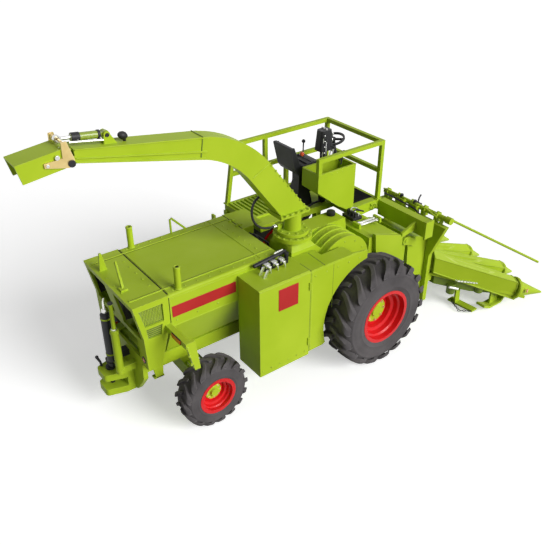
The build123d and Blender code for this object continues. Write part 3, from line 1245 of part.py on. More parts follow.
CREST_TUBE_R = 1.2
CREST_TUBE_X = HEADER_REAR_X + 3.6
CREST_TUBE_Z = HEADER_TOP + 2.6
CREST_BRACKET_T = 1.0
CREST_BRACKETS = (-16.0, 0.0, 17.0)
crest_bracket = ((HEADER_REAR_X, HEADER_TOP - 3.0), (HEADER_REAR_X + FRAME_T, HEADER_TOP - 3.0),
                 (CREST_TUBE_X + 1.0, CREST_TUBE_Z + 0.6), (CREST_TUBE_X - 1.0, CREST_TUBE_Z + 0.6))
with BuildPart() as header_frame:
    with BuildSketch(Plane.YZ.offset(HEADER_REAR_X)):
        Polygon((CROP_Y - CREST_HALF, HEADER_TOP), (CROP_Y + CREST_HALF, HEADER_TOP),
                (CROP_Y + THROAT_HALF, HEADER_WAIST), (CROP_Y + THROAT_HALF, HEADER_LOW),
                (CROP_Y - THROAT_HALF, HEADER_LOW), (CROP_Y - THROAT_HALF, HEADER_WAIST), align=None)
        with Locations((CROP_Y, (MOUTH_LOW + MOUTH_HIGH) / 2)):
            Rectangle(2 * MOUTH_HALF, MOUTH_HIGH - MOUTH_LOW, mode=Mode.SUBTRACT)
        with Locations((CROP_Y, 41.0)):
            Trapezoid(2 * CREST_HALF - 20.0, 7.0, 75, rotation=180, mode=Mode.SUBTRACT)
    extrude(amount=FRAME_T)
    # the tube along its crest, on three brackets
    with BuildSketch(wall(CROP_Y + CREST_HALF)):
        with Locations((CREST_TUBE_X, CREST_TUBE_Z)):
            Circle(CREST_TUBE_R)
    extrude(amount=2 * CREST_HALF - 3.0)
    for bracket_y in CREST_BRACKETS:
        with BuildSketch(wall(CROP_Y + bracket_y)):
            Polygon(*crest_bracket, align=None)
        extrude(amount=CREST_BRACKET_T)
save(header_frame, "header_frame")

# a rod that lays tall stalks over, in a collar at the crest tube's right end
BAR_R = 0.6
COLLAR_T = 3.0
collar_y = CROP_Y - CREST_HALF + COLLAR_T
bar_start = (CREST_TUBE_X + 1.4, collar_y, CREST_TUBE_Z)
bar_end = (90.0, row_lines[0] - 1.2, 27.3)
bar_run = tuple(end - start for start, end in zip(bar_start, bar_end))
bar_length = hypot(*bar_run)
with BuildPart() as deflector_bar:
    with BuildSketch(Plane(origin=bar_start, x_dir=(0, 0, 1), z_dir=bar_run)):
        Circle(BAR_R)
    extrude(amount=bar_length)
    with BuildSketch(wall(collar_y - SEAT_GAP)):
        with Locations((CREST_TUBE_X, CREST_TUBE_Z)):
            Circle(CREST_TUBE_R + 0.5)
    extrude(amount=COLLAR_T)
save(deflector_bar, "deflector_bar")

# the deck slopes from the throat down to the points, slotted for the four rows
DECK_REAR_Z = 21.6
DECK_FRONT_Z = 7.2
deck_run = FAN_FRONT_X - FAN_REAR_X
deck_length = hypot(deck_run, DECK_REAR_Z - DECK_FRONT_Z)
deck_dir = (deck_run, 0, DECK_FRONT_Z - DECK_REAR_Z)
SLOT_START = 0.16        # share of the deck's length at which the slots begin
deck_half = ROW_PITCH * ROWS / 2
deck_normal = (-deck_dir[2], 0, deck_dir[0])
deck_plane = Plane(origin=(FAN_REAR_X, CROP_Y, DECK_REAR_Z), x_dir=deck_dir, z_dir=deck_normal)
LIP_DROP = 5.0
LIP_HEIGHT = 4.0
lip_front_x = FAN_REAR_X + DECK_SHEET
lip_rear_x = HEADER_REAR_X + FRAME_T
with BuildPart() as header_deck:
    with BuildSketch(deck_plane):
        Polygon((0, -THROAT_HALF), (deck_length, -deck_half), (deck_length, deck_half),
                (0, THROAT_HALF), align=None)
        for index in range(ROWS):
            lane = (index - (ROWS - 1) / 2) * ROW_PITCH
            start_u = deck_length * SLOT_START
            start_v = lane * (squeeze + (1 - squeeze) * SLOT_START)
            Polygon((start_u, start_v - SLOT_WIDTH / 2), (deck_length + 1, lane * 1.01 - SLOT_WIDTH / 2),
                    (deck_length + 1, lane * 1.01 + SLOT_WIDTH / 2), (start_u, start_v + SLOT_WIDTH / 2),
                    align=None, mode=Mode.SUBTRACT)
    extrude(amount=-DECK_SHEET)
    # its rear lip against the header frame
    with BuildSketch(Plane.XY.offset(DECK_REAR_Z - LIP_DROP)):
        with Locations(((lip_rear_x + lip_front_x) / 2, CROP_Y)):
            Rectangle(lip_front_x - lip_rear_x, 2 * THROAT_HALF)
            Rectangle(FAN_REAR_X, 2 * MOUTH_HALF, mode=Mode.SUBTRACT)
    extrude(amount=LIP_HEIGHT)
save(header_deck, "header_deck")

# station x, half width, foot, eaves and ridge heights
HOOD_STATIONS = ((FAN_REAR_X, 1.3, DECK_REAR_Z + 0.4, 29.0, 33.0), (DIVIDER_BASE_X, 3.4, 5.6, 12.2, 15.0))
with BuildPart() as row_hoods:
    for line_y in row_lines:
        for thin, mode in ((0.0, Mode.ADD), (HOOD_SHEET, Mode.SUBTRACT)):
            for station_x, half, foot, eaves, ridge in HOOD_STATIONS:
                middle = at_throat(line_y) if station_x == FAN_REAR_X else line_y
                reach = half - thin
                with BuildSketch(Plane.YZ.offset(station_x)):
                    Polygon((middle - reach, foot), (middle + reach, foot), (middle + reach, eaves - thin),
                            (middle, ridge - thin), (middle - reach, eaves - thin), align=None)
            loft(mode=mode)
save(row_hoods, "row_hoods")

with BuildPart() as divider_points:
    for line_y in row_lines:
        with BuildSketch(Plane.YZ.offset(DIVIDER_BASE_X)):
            with Locations((line_y, DIVIDER_BASE_Z)):
                Circle(DIVIDER_BASE_R)
        with BuildSketch(Plane.YZ.offset(DIVIDER_TIP_X)):
            with Locations((line_y, DIVIDER_TIP_Z + DIVIDER_TIP_R)):
                Circle(DIVIDER_TIP_R)
        loft()
save(divider_points, "divider_points")

# skids below the two outer units and parking feet behind them
SKID_LOW = 0.8
SKID_SHEET = 1.2
SKID_HALF = 2.5
SKID_INSET = 11.5
FOOT_LOW = 1.2
FOOT_T = 1.0
FOOT_NEAR = 17.5
FOOT_FAR = 32.0
LEG_OFFSET = 21.0
skid_outline = ((87.6, 5.7), (82.0, SKID_LOW), (73.0, SKID_LOW), (67.6, 3.4), (68.2, 4.4),
                (73.4, SKID_LOW + SKID_SHEET), (81.5, SKID_LOW + SKID_SHEET), (86.2, 6.2))
skid_hanger = ((75.0, SKID_LOW + 1.0), (75.0, 10.2), (81.0, 8.0), (81.0, SKID_LOW + 1.0))
foot_leg = ((61.4, FOOT_LOW + 0.5), (64.8, FOOT_LOW + 0.5), (63.4, 14.4), (60.6, 15.4))
with BuildPart() as header_skids:
    for side, sign in SIDES:
        skid_y = CROP_Y + sign * (deck_half - SKID_INSET)
        with BuildSketch(wall(skid_y + SKID_HALF)):
            Polygon(*skid_outline, align=None)
        extrude(amount=2 * SKID_HALF)
        with BuildSketch(wall(skid_y + 0.5)):
            Polygon(*skid_hanger, align=None)
        extrude(amount=1.0)
        foot_near = CROP_Y + sign * FOOT_NEAR
        foot_far = CROP_Y + sign * FOOT_FAR
        with BuildSketch(Plane.XY.offset(FOOT_LOW)):
            Polygon((61.0, foot_near), (65.0, foot_near), (66.4, foot_far), (62.4, foot_far), align=None)
        extrude(amount=FOOT_T)
        with BuildSketch(wall(CROP_Y + sign * LEG_OFFSET)):
            Polygon(*foot_leg, align=None)
        extrude(amount=-sign * FOOT_T)
save(header_skids, "header_skids")
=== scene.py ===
"""Looks of the 1:32 scale forage harvester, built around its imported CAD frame.

Lengths given as millimetres count from the datum: the middle of the front axle line on the ground,
with +X to the header, +Y to the driver's side and +Z up. ``Datum`` turns them into the frame's metres.
"""

import logging
import math
from dataclasses import dataclass
from enum import Enum
from typing import Sequence

import bmesh
import bpy
from mathutils import Matrix, Vector


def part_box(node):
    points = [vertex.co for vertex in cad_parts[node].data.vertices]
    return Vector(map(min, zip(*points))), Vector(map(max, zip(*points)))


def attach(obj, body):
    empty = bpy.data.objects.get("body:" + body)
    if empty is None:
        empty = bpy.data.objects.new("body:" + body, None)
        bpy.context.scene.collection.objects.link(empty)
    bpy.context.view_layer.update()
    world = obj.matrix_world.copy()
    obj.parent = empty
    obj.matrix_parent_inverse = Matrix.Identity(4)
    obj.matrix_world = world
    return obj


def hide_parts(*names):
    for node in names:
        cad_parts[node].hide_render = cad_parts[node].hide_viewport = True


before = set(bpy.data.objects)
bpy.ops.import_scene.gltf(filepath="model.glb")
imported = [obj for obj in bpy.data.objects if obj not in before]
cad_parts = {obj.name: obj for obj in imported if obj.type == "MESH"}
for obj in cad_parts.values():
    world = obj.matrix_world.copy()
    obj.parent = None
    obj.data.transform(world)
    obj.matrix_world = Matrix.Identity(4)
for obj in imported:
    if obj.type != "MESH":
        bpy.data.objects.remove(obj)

MM = 0.001
Point = Sequence[float]
LOG = logging.getLogger("harvester")

AHEAD, LEFTWARDS, RIGHTWARDS, UP = (1, 0, 0), (0, 1, 0), (0, -1, 0), (0, 0, 1)
SIDES = ((-1, "right"), (1, "left"))
SMOOTH_UP_TO = 35
CROP_LINE_Y = -15.5


class Slot(Enum):
    """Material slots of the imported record."""

    PAINT = "paint"
    RIM = "rim_red"
    TYRE = "tyre"
    DARK = "dark_plastic"
    STEEL = "bright_steel"
    BRASS = "brass"
    CYLINDER = "green_cylinder"
    HOSE = "hose_rubber"


class Look(Enum):
    """A finish and the record slot that it stands for. The first look of a slot is that of its CAD nodes."""

    PAINT = ("paint", Slot.PAINT)
    RIM = ("rim", Slot.RIM)
    TYRE = ("tyre", Slot.TYRE)
    DARK = ("dark", Slot.DARK)
    STEEL = ("steel", Slot.STEEL)
    BRASS = ("brass", Slot.BRASS)
    CYLINDER = ("cylinder", Slot.CYLINDER)
    HOSE = ("hose", Slot.HOSE)
    # Painted shade: a darker copy of the green paint, for gaps, seams and recesses.
    DEEP = ("shade_paint", Slot.PAINT)
    FILM = ("strip", Slot.PAINT)
    # Painted shade: the black of the mat finish on paint-slot pieces in gaps and bores.
    SHADE_IN_GAPS = ("mat", Slot.PAINT)
    MAT = ("mat", Slot.DARK)
    GAUZE = ("gauze", Slot.DARK)
    GLASS = ("lamp", Slot.DARK)
    LENS = ("lens", Slot.RIM)

    def __init__(self, finish: str, slot: Slot) -> None:
        """Takes a look's finish and slot apart."""
        self.finish = finish
        self.slot = slot


class Axis(Enum):
    """Axes that a flat outline is pulled along, with the order of its own two coordinates."""

    X = (1, 2, 0)
    Y = (0, 2, 1)
    Z = (0, 1, 2)


@dataclass(frozen=True)
class Datum:
    """Origin of the millimetre sizes, in the frame's metres."""

    x: float
    y: float

    @classmethod
    def read(cls) -> "Datum":
        """Reads the datum from the two front tyres."""
        left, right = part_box("front_tyre_left"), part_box("front_tyre_right")
        return cls((left[0].x + left[1].x) / 2, (left[1].y + right[0].y) / 2)

    def at(self, point: Point) -> Vector:
        """Turns a point in millimetres into metres in the frame."""
        return Vector((self.x + point[0] * MM, self.y + point[1] * MM, point[2] * MM))

    def matrix(self) -> Matrix:
        """Gives the transform from millimetres about the datum to the frame."""
        return Matrix.Translation((self.x, self.y, 0)) @ Matrix.Diagonal((MM, MM, MM, 1))


class Graph:
    """Adds and wires the nodes of one tree."""

    def __init__(self, tree: bpy.types.NodeTree) -> None:
        """Takes the tree to work in."""
        self.tree = tree

    def add(self, kind: str, inputs: dict | None = None, **settings: object) -> bpy.types.Node:
        """Adds a node.

        Args:
            kind: The node's type name.
            inputs: Values or sockets for its inputs, by name or index.
            settings: Attributes of the node itself.

        Returns:
            The new node.
        """
        node = self.tree.nodes.new(kind)
        for key, value in settings.items():
            setattr(node, key, value)
        for key, value in (inputs or {}).items():
            if isinstance(value, bpy.types.NodeSocket):
                self.tree.links.new(value, node.inputs[key])
            else:
                node.inputs[key].default_value = value
        return node

    def calc(self, operation: str, *values: object, clamp: bool = False) -> bpy.types.NodeSocket:
        """Adds one arithmetic step.

        Args:
            operation: The Math node's operation.
            values: Its numbers or sockets, in order.
            clamp: Whether the result stays from 0 to 1.

        Returns:
            The socket of the result.
        """
        node = self.add("ShaderNodeMath", dict(enumerate(values)), operation=operation, use_clamp=clamp)
        return node.outputs[0]

    def scale(self, value: object, low: float, high: float, to_low: object, to_high: object) -> bpy.types.NodeSocket:
        """Maps a value from one range to another, clamped to it.

        Args:
            value: The socket to map.
            low: Start of its range.
            high: End of its range.
            to_low: Result at the start.
            to_high: Result at the end.

        Returns:
            The socket of the result.
        """
        node = self.add("ShaderNodeMapRange", {0: value, 1: low, 2: high, 3: to_low, 4: to_high})
        return node.outputs[0]

    def mix(self, factor: object, a: object, b: object) -> bpy.types.NodeSocket:
        """Mixes two colours.

        Args:
            factor: Share of the second colour.
            a: First colour.
            b: Second colour.

        Returns:
            The socket of the result.
        """
        node = self.add("ShaderNodeMix", {0: factor, 6: a, 7: b}, data_type="RGBA")
        return node.outputs[2]


def open_group(name: str, kind: str, inputs: dict[str, tuple],
               outputs: dict[str, str]) -> tuple[Graph, bpy.types.Node, bpy.types.Node]:
    """Starts a node group with named sockets.

    Args:
        name: The group's name.
        kind: The tree's type.
        inputs: Socket type and default value by name.
        outputs: Socket type by name.

    Returns:
        The graph, its input node and its output node.
    """
    tree = bpy.data.node_groups.new(name, kind)
    for label, (socket, value) in inputs.items():
        made = tree.interface.new_socket(label, in_out="INPUT", socket_type=socket)
        if value is not None:
            made.default_value = value
    for label, socket in outputs.items():
        tree.interface.new_socket(label, in_out="OUTPUT", socket_type=socket)
    graph = Graph(tree)
    return graph, graph.add("NodeGroupInput"), graph.add("NodeGroupOutput")


FLOAT, COLOUR = "NodeSocketFloat", "NodeSocketColor"


class ShaderGroups:
    """The effects that several finishes share."""

    def __init__(self) -> None:
        """Builds the groups."""
        self.wear = self._edge_wear()
        self.surface = self._surface()

    @staticmethod
    def _edge_wear() -> bpy.types.NodeTree:
        """Builds the mask of edges that lighten: painted highlight along the edges, broken by scuffed patches.

        Returns:
            A group with one mask, 0 on the open surface and up to 1 along an edge.
        """
        graph, source, sink = open_group(
            "edge_wear",
            "ShaderNodeTree",
            {"Reach": (FLOAT, 0.0003), "Patches": (FLOAT, 400.0), "Amount": (FLOAT, 0.5)},
            {"Mask": FLOAT},
        )
        place = graph.add("ShaderNodeTexCoord").outputs["Object"]
        rounded = graph.add("ShaderNodeBevel", {"Radius": source.outputs["Reach"]}, samples=4)
        flat = graph.add("ShaderNodeNewGeometry").outputs["Normal"]
        facing = graph.add(
            "ShaderNodeVectorMath", {0: rounded.outputs[0], 1: flat}, operation="DOT_PRODUCT"
        ).outputs["Value"]
        # The mask rises where the bevelled normal turns from the face's own, so edges lighten as a painted highlight,
        # patched with scuffs.
        turn = graph.scale(facing, 0.995, 0.86, 0.0, 1.0)
        patches = graph.add(
            "ShaderNodeTexNoise", {"Vector": place, "Scale": source.outputs["Patches"], "Detail": 3.0}
        ).outputs[0]
        highlight_and_scuffs = graph.calc("MULTIPLY", turn, graph.scale(patches, 0.32, 0.68, 0.15, 1.0))
        graph.tree.links.new(graph.calc("MULTIPLY", highlight_and_scuffs, source.outputs["Amount"]), sink.inputs["Mask"])
        return graph.tree

    @staticmethod
    def _surface() -> bpy.types.NodeTree:
        """Builds the open surface: clouded colour, settled dust, fine grain.

        Returns:
            A group that puts out the colour, the roughness and the grain's height.
        """
        graph, source, sink = open_group(
            "surface",
            "ShaderNodeTree",
            {
                "Colour": (COLOUR, (0.5, 0.5, 0.5, 1)),
                "Shade": (COLOUR, (0.3, 0.3, 0.3, 1)),
                "Clouds": (FLOAT, 60.0),
                "Grain": (FLOAT, 2500.0),
                "Dust": (COLOUR, (0.6, 0.58, 0.5, 1)),
                "Dust Amount": (FLOAT, 0.1),
                "Roughness": (FLOAT, 0.4),
                "Spread": (FLOAT, 0.1),
            },
            {"Colour": COLOUR, "Roughness": FLOAT, "Height": FLOAT},
        )
        place = graph.add("ShaderNodeTexCoord").outputs["Object"]
        clouds = graph.add(
            "ShaderNodeTexNoise", {"Vector": place, "Scale": source.outputs["Clouds"], "Detail": 4.0}
        ).outputs[0]
        grain = graph.add(
            "ShaderNodeTexNoise", {"Vector": place, "Scale": source.outputs["Grain"], "Detail": 2.0}
        ).outputs[0]
        tint = graph.mix(graph.scale(clouds, 0.3, 0.7, 0.0, 1.0), source.outputs["Shade"], source.outputs["Colour"])
        upward = graph.add("ShaderNodeSeparateXYZ", {0: graph.add("ShaderNodeNewGeometry").outputs["Normal"]})
        lying = graph.scale(upward.outputs[2], 0.2, 1.0, 0.2, 1.0)
        speck = graph.scale(graph.calc("MULTIPLY", clouds, grain), 0.16, 0.36, 0.0, 1.0)
        dusty = graph.calc(
            "MULTIPLY", graph.calc("MULTIPLY", lying, speck), source.outputs["Dust Amount"], clamp=True
        )
        rough = graph.calc(
            "MULTIPLY_ADD", graph.calc("SUBTRACT", grain, 0.5), source.outputs["Spread"], source.outputs["Roughness"]
        )
        rough = graph.calc("ADD", rough, graph.calc("MULTIPLY", dusty, 0.3), clamp=True)
        graph.tree.links.new(graph.mix(dusty, tint, source.outputs["Dust"]), sink.inputs["Colour"])
        graph.tree.links.new(rough, sink.inputs["Roughness"])
        graph.tree.links.new(grain, sink.inputs["Height"])
        return graph.tree


@dataclass(frozen=True)
class Finish:
    """One finish. Colours are linear, scales are cycles in a metre, depths are metres."""

    name: str
    colour: Point
    shade: Point
    # Edge colour: painted highlight along edges, partly scuffs.
    edge_highlight_and_scuff_colour: Point
    roughness: float = 0.4
    metallic: float = 0.0
    gloss: float = 0.4
    coat: float = 0.0
    clouds: float = 60.0
    grain: float = 2500.0
    depth: float = 0.00001
    wear: float = 0.5
    reach: float = 0.0003
    dust: float = 0.05
    dust_colour: Point = (0.55, 0.54, 0.46)

    def build(self, groups: ShaderGroups) -> bpy.types.Material:
        """Makes the material.

        Args:
            groups: The shared shader groups.

        Returns:
            The finished material.
        """
        material = bpy.data.materials.new(self.name)
        material.use_nodes = True
        graph = Graph(material.node_tree)
        graph.tree.nodes.clear()
        surface = graph.add(
            "ShaderNodeGroup",
            {
                "Colour": (*self.colour, 1),
                "Shade": (*self.shade, 1),
                "Clouds": self.clouds,
                "Grain": self.grain,
                "Dust": (*self.dust_colour, 1),
                "Dust Amount": self.dust,
                "Roughness": self.roughness,
                "Spread": 0.12,
            },
            node_tree=groups.surface,
        )
        highlight_and_scuffs = {"Reach": self.reach, "Patches": self.clouds * 7, "Amount": self.wear}
        mask = graph.add("ShaderNodeGroup", highlight_and_scuffs, node_tree=groups.wear).outputs["Mask"]
        shader = graph.add(
            "ShaderNodeBsdfPrincipled",
            {
                # Edges mix towards the edge colour: painted highlight, partly scuffs.
                "Base Color": graph.mix(mask, surface.outputs["Colour"], (*self.edge_highlight_and_scuff_colour, 1)),
                "Roughness": graph.calc("MULTIPLY_ADD", mask, 0.12, surface.outputs["Roughness"], clamp=True),
                "Metallic": self.metallic,
                "Specular IOR Level": self.gloss,
                "Coat Weight": self.coat,
                "Coat Roughness": 0.12,
            },
        )
        bump = graph.add(
            "ShaderNodeBump", {"Height": surface.outputs["Height"], "Strength": 0.6, "Distance": self.depth}
        )
        graph.tree.links.new(bump.outputs[0], shader.inputs["Normal"])
        sink = graph.add("ShaderNodeOutputMaterial")
        graph.tree.links.new(shader.outputs[0], sink.inputs["Surface"])
        return material


class Finishes:
    """Every finish on the machine."""

    def __init__(self) -> None:
        """Makes every material."""
        groups = ShaderGroups()
        made = {
            # The third colour of each finish is its edge colour: painted highlight with scuffs.
            "paint": Finish(
                "green_enamel", (0.44, 0.59, 0.022), (0.39, 0.54, 0.018), (0.66, 0.76, 0.2),
                roughness=0.46, gloss=0.14, wear=0.55, dust=0.05,
            ),
            # Painted shade: the green paint darkened to its shaded tone.
            "shade_paint": Finish(
                "green_enamel_painted_shade", (0.16, 0.24, 0.008), (0.11, 0.17, 0.006), (0.4, 0.5, 0.08),
                roughness=0.45, wear=0.5, dust=0.05,
            ),
            "strip": Finish(
                "red_film", (0.5, 0.022, 0.022), (0.42, 0.016, 0.016), (0.62, 0.16, 0.14),
                roughness=0.5, gloss=0.2, wear=0.4, dust=0.05,
            ),
            "rim": Finish(
                "red_enamel", (0.72, 0.006, 0.01), (0.6, 0.004, 0.007), (0.86, 0.1, 0.09),
                roughness=0.34, gloss=0.25, coat=0.1, wear=0.35, dust=0.03, dust_colour=(0.7, 0.4, 0.36),
            ),
            "tyre": Finish(
                "tyre_rubber", (0.115, 0.106, 0.108), (0.07, 0.064, 0.066), (0.2, 0.19, 0.19),
                roughness=0.8, gloss=0.2, clouds=90, grain=3200, depth=0.00003, wear=0.5, reach=0.0004, dust=0.14,
                dust_colour=(0.24, 0.22, 0.21),
            ),
            "dark": Finish(
                "black_plastic", (0.018, 0.018, 0.02), (0.01, 0.01, 0.012), (0.07, 0.07, 0.075),
                roughness=0.46, gloss=0.3, grain=4200, depth=0.00003, wear=0.4, dust=0.06, dust_colour=(0.1, 0.1, 0.09),
            ),
            # Black mat: the real deck mat, and painted shade in gaps and bores.
            "mat": Finish(
                "black_mat_also_painted_shade", (0.012, 0.012, 0.012), (0.006, 0.006, 0.006), (0.04, 0.04, 0.04),
                roughness=0.85, gloss=0.15, grain=5200, depth=0.00006, wear=0.3, dust=0.1,
                dust_colour=(0.06, 0.06, 0.05),
            ),
            "steel": Finish(
                "bright_steel", (0.78, 0.78, 0.76), (0.62, 0.62, 0.6), (0.95, 0.95, 0.94),
                roughness=0.26, metallic=1.0, clouds=240, grain=6000, depth=0.000006, wear=0.5, dust=0.02,
            ),
            "brass": Finish(
                "brass", (0.83, 0.66, 0.3), (0.62, 0.46, 0.18), (0.98, 0.86, 0.55),
                roughness=0.34, metallic=0.75, clouds=200, grain=5000, depth=0.00001, wear=0.5, dust=0.03,
            ),
            "cylinder": Finish(
                "green_lacquer", (0.3, 0.4, 0.02), (0.2, 0.28, 0.012), (0.6, 0.68, 0.3),
                roughness=0.28, coat=0.5, wear=0.6, dust=0.04,
            ),
            "hose": Finish(
                "hose_rubber", (0.014, 0.014, 0.014), (0.008, 0.008, 0.008), (0.05, 0.05, 0.05),
                roughness=0.55, grain=5000, depth=0.00002, wear=0.2, dust=0.05, dust_colour=(0.08, 0.08, 0.07),
            ),
            "lens": Finish(
                "orange_lens", (0.8, 0.1, 0.01), (0.6, 0.05, 0.008), (0.95, 0.4, 0.1),
                roughness=0.2, coat=0.6, wear=0.3, dust=0.02,
            ),
            "lamp": Finish(
                "lamp_glass", (0.8, 0.82, 0.84), (0.66, 0.68, 0.7), (0.95, 0.95, 0.95),
                roughness=0.12, coat=0.8, wear=0.3, dust=0.02,
            ),
            "gauze": Finish(
                "green_gauze", (0.2, 0.27, 0.06), (0.13, 0.18, 0.04), (0.36, 0.42, 0.2),
                roughness=0.6, metallic=0.2, clouds=300, wear=0.3, dust=0.04,
            ),
        }
        self.material = {key: finish.build(groups) for key, finish in made.items()}

    def __getitem__(self, look: Look) -> bpy.types.Material:
        """Gives the material of a look."""
        return self.material[look.finish]

    def dress_frame(self) -> None:
        """Gives every CAD node the finish of its record slot."""
        plain: dict[str, Look] = {}
        for look in Look:
            plain.setdefault(look.slot.value, look)
        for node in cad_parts.values():
            for place in node.material_slots:
                slot = place.material.name.split(".")[0]
                place.material = self[plain.get(slot, Look.PAINT)]


class Sculpt:
    """A mesh under construction, in millimetres about the datum."""

    def __init__(self, datum: Datum) -> None:
        """Starts an empty mesh."""
        self.datum = datum
        self.bm = bmesh.new()

    def loft(self, rings: Sequence[Sequence[Point]], closed: bool = False) -> None:
        """Skins rings of equal count and caps the ends.

        Args:
            rings: The rings of points.
            closed: Whether the last ring joins the first instead of being capped.
        """
        made = [[self.bm.verts.new(p) for p in ring] for ring in rings]
        count = len(made[0])
        pairs = list(zip(made, made[1:])) + ([(made[-1], made[0])] if closed else [])
        for a, b in pairs:
            for i in range(count):
                j = (i + 1) % count
                self.bm.faces.new((a[i], a[j], b[j], b[i]))
        if not closed:
            self.bm.faces.new(made[0])
            self.bm.faces.new(made[-1])

    def box(self, low: Point, high: Point) -> "Sculpt":
        """Adds a block between two corners."""
        return self.prism([(low[0], low[1]), (high[0], low[1]), (high[0], high[1]), (low[0], high[1])],
                          Axis.Z, low[2], high[2])

    def prism(self, outline: Sequence[Point], axis: Axis, start: float, end: float) -> "Sculpt":
        """Adds a flat outline pulled along an axis.

        Args:
            outline: Its corners, in the axis's own order of coordinates.
            axis: The axis that it is pulled along.
            start: Where it starts on that axis.
            end: Where it ends.

        Returns:
            This sculpt.
        """
        first, second, along = axis.value

        def place(corner: Point, at: float) -> Point:
            """Puts a corner at a place on the axis."""
            point = [0.0, 0.0, 0.0]
            point[first], point[second], point[along] = corner[0], corner[1], at
            return point

        self.loft([[place(c, start) for c in outline], [place(c, end) for c in outline]])
        return self

    def rod(self, start: Point, end: Point, radius: float, sides: int = 12, tip: float | None = None) -> "Sculpt":
        """Adds a round bar, or a cone with a tip radius.

        Args:
            start: Middle of its first end.
            end: Middle of its last end.
            radius: Radius at the start.
            sides: Faces round it.
            tip: Radius at the end, if it differs.

        Returns:
            This sculpt.
        """
        return self.tube([start, end], [radius, radius if tip is None else tip], sides)

    def tube(self, points: Sequence[Point], radius: float | Sequence[float], sides: int = 10) -> "Sculpt":
        """Adds a round bar along points.

        Args:
            points: Points of its centre line.
            radius: One radius, or one for each point.
            sides: Faces round it.

        Returns:
            This sculpt.
        """
        line = [Vector(p) for p in points]
        radii = [radius] * len(line) if isinstance(radius, (int, float)) else list(radius)
        rings, normal = [], None
        for i, point in enumerate(line):
            before, after = line[max(i - 1, 0)], line[min(i + 1, len(line) - 1)]
            along = (after - before).normalized()
            if normal is None:
                normal = along.orthogonal().normalized()
            normal = (normal - along * normal.dot(along)).normalized()
            side = along.cross(normal)
            rings.append([
                point + (normal * math.cos(a) + side * math.sin(a)) * radii[i]
                for a in (2 * math.pi * k / sides for k in range(sides))
            ])
        self.loft(rings)
        return self

    def lathe(self, profile: Sequence[Point], centre: Point, axis: Point, sides: int = 48) -> "Sculpt":
        """Adds a closed profile turned round an axis.

        Args:
            profile: Its corners, as radius and distance along the axis.
            centre: A point on the axis.
            axis: The axis's direction.
            sides: Steps round it.

        Returns:
            This sculpt.
        """
        along = Vector(axis).normalized()
        across = along.orthogonal().normalized()
        side = along.cross(across)
        rings = []
        for k in range(sides):
            a = 2 * math.pi * k / sides
            out = across * math.cos(a) + side * math.sin(a)
            rings.append([Vector(centre) + out * max(r, 0.001) + along * h for r, h in profile])
        self.loft(rings, closed=True)
        return self

    def knob(self, centre: Point, radius: float) -> "Sculpt":
        """Adds a ball.

        Args:
            centre: Its middle.
            radius: Its radius.

        Returns:
            This sculpt.
        """
        steps = 7
        turn = [math.pi * k / steps for k in range(steps + 1)]
        arc = [(radius * math.sin(a), -radius * math.cos(a)) for a in turn]
        return self.lathe(arc + [(0, 0)], centre, UP, 14)

    def bolt(self, at: Point, axis: Point, radius: float = 0.4, height: float = 0.3) -> "Sculpt":
        """Adds a hexagon head on its washer, sunk a little into what it holds."""
        way, start = Vector(axis).normalized(), Vector(at)
        self.rod(start - way * 0.1, start + way * height * 0.3, radius * 1.25, 14)
        return self.rod(start, start + way * height, radius, 6, radius * 0.92)

    def mesh(self, name: str, material: bpy.types.Material) -> bpy.types.Mesh:
        """Closes the work and gives its mesh in metres.

        Args:
            name: The mesh's name.
            material: Its material.

        Returns:
            The mesh, with faces outwards and smooth up to the usual angle.
        """
        bmesh.ops.remove_doubles(self.bm, verts=self.bm.verts, dist=0.0005)
        bmesh.ops.recalc_face_normals(self.bm, faces=self.bm.faces)
        self.bm.transform(self.datum.matrix())
        mesh = bpy.data.meshes.new(name)
        self.bm.to_mesh(mesh)
        self.bm.free()
        mesh.materials.append(material)
        mesh.shade_smooth()
        mesh.set_sharp_from_angle(angle=math.radians(SMOOTH_UP_TO))
        return mesh


def mount(made: bpy.types.Object, body: str, edge: float = 0.0,
          replaces: Sequence[str] = ()) -> bpy.types.Object:
    """Puts a piece on its body.

    Args:
        made: The piece.
        body: The body that it rides on.
        edge: Width of its rounded edges in millimetres, or 0.
        replaces: CAD nodes that it stands for.

    Returns:
        The piece.
    """
    if made.name not in bpy.context.scene.collection.objects:
        bpy.context.scene.collection.objects.link(made)
    if edge:
        bevel = made.modifiers.new("rounded", "BEVEL")
        bevel.width, bevel.segments, bevel.limit_method = edge * MM, 2, "ANGLE"
    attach(made, body)
    if replaces:
        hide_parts(*replaces)
    LOG.info("%s rides on %s, %d faces", made.name, body, len(getattr(made.data, "polygons", ())))
    return made


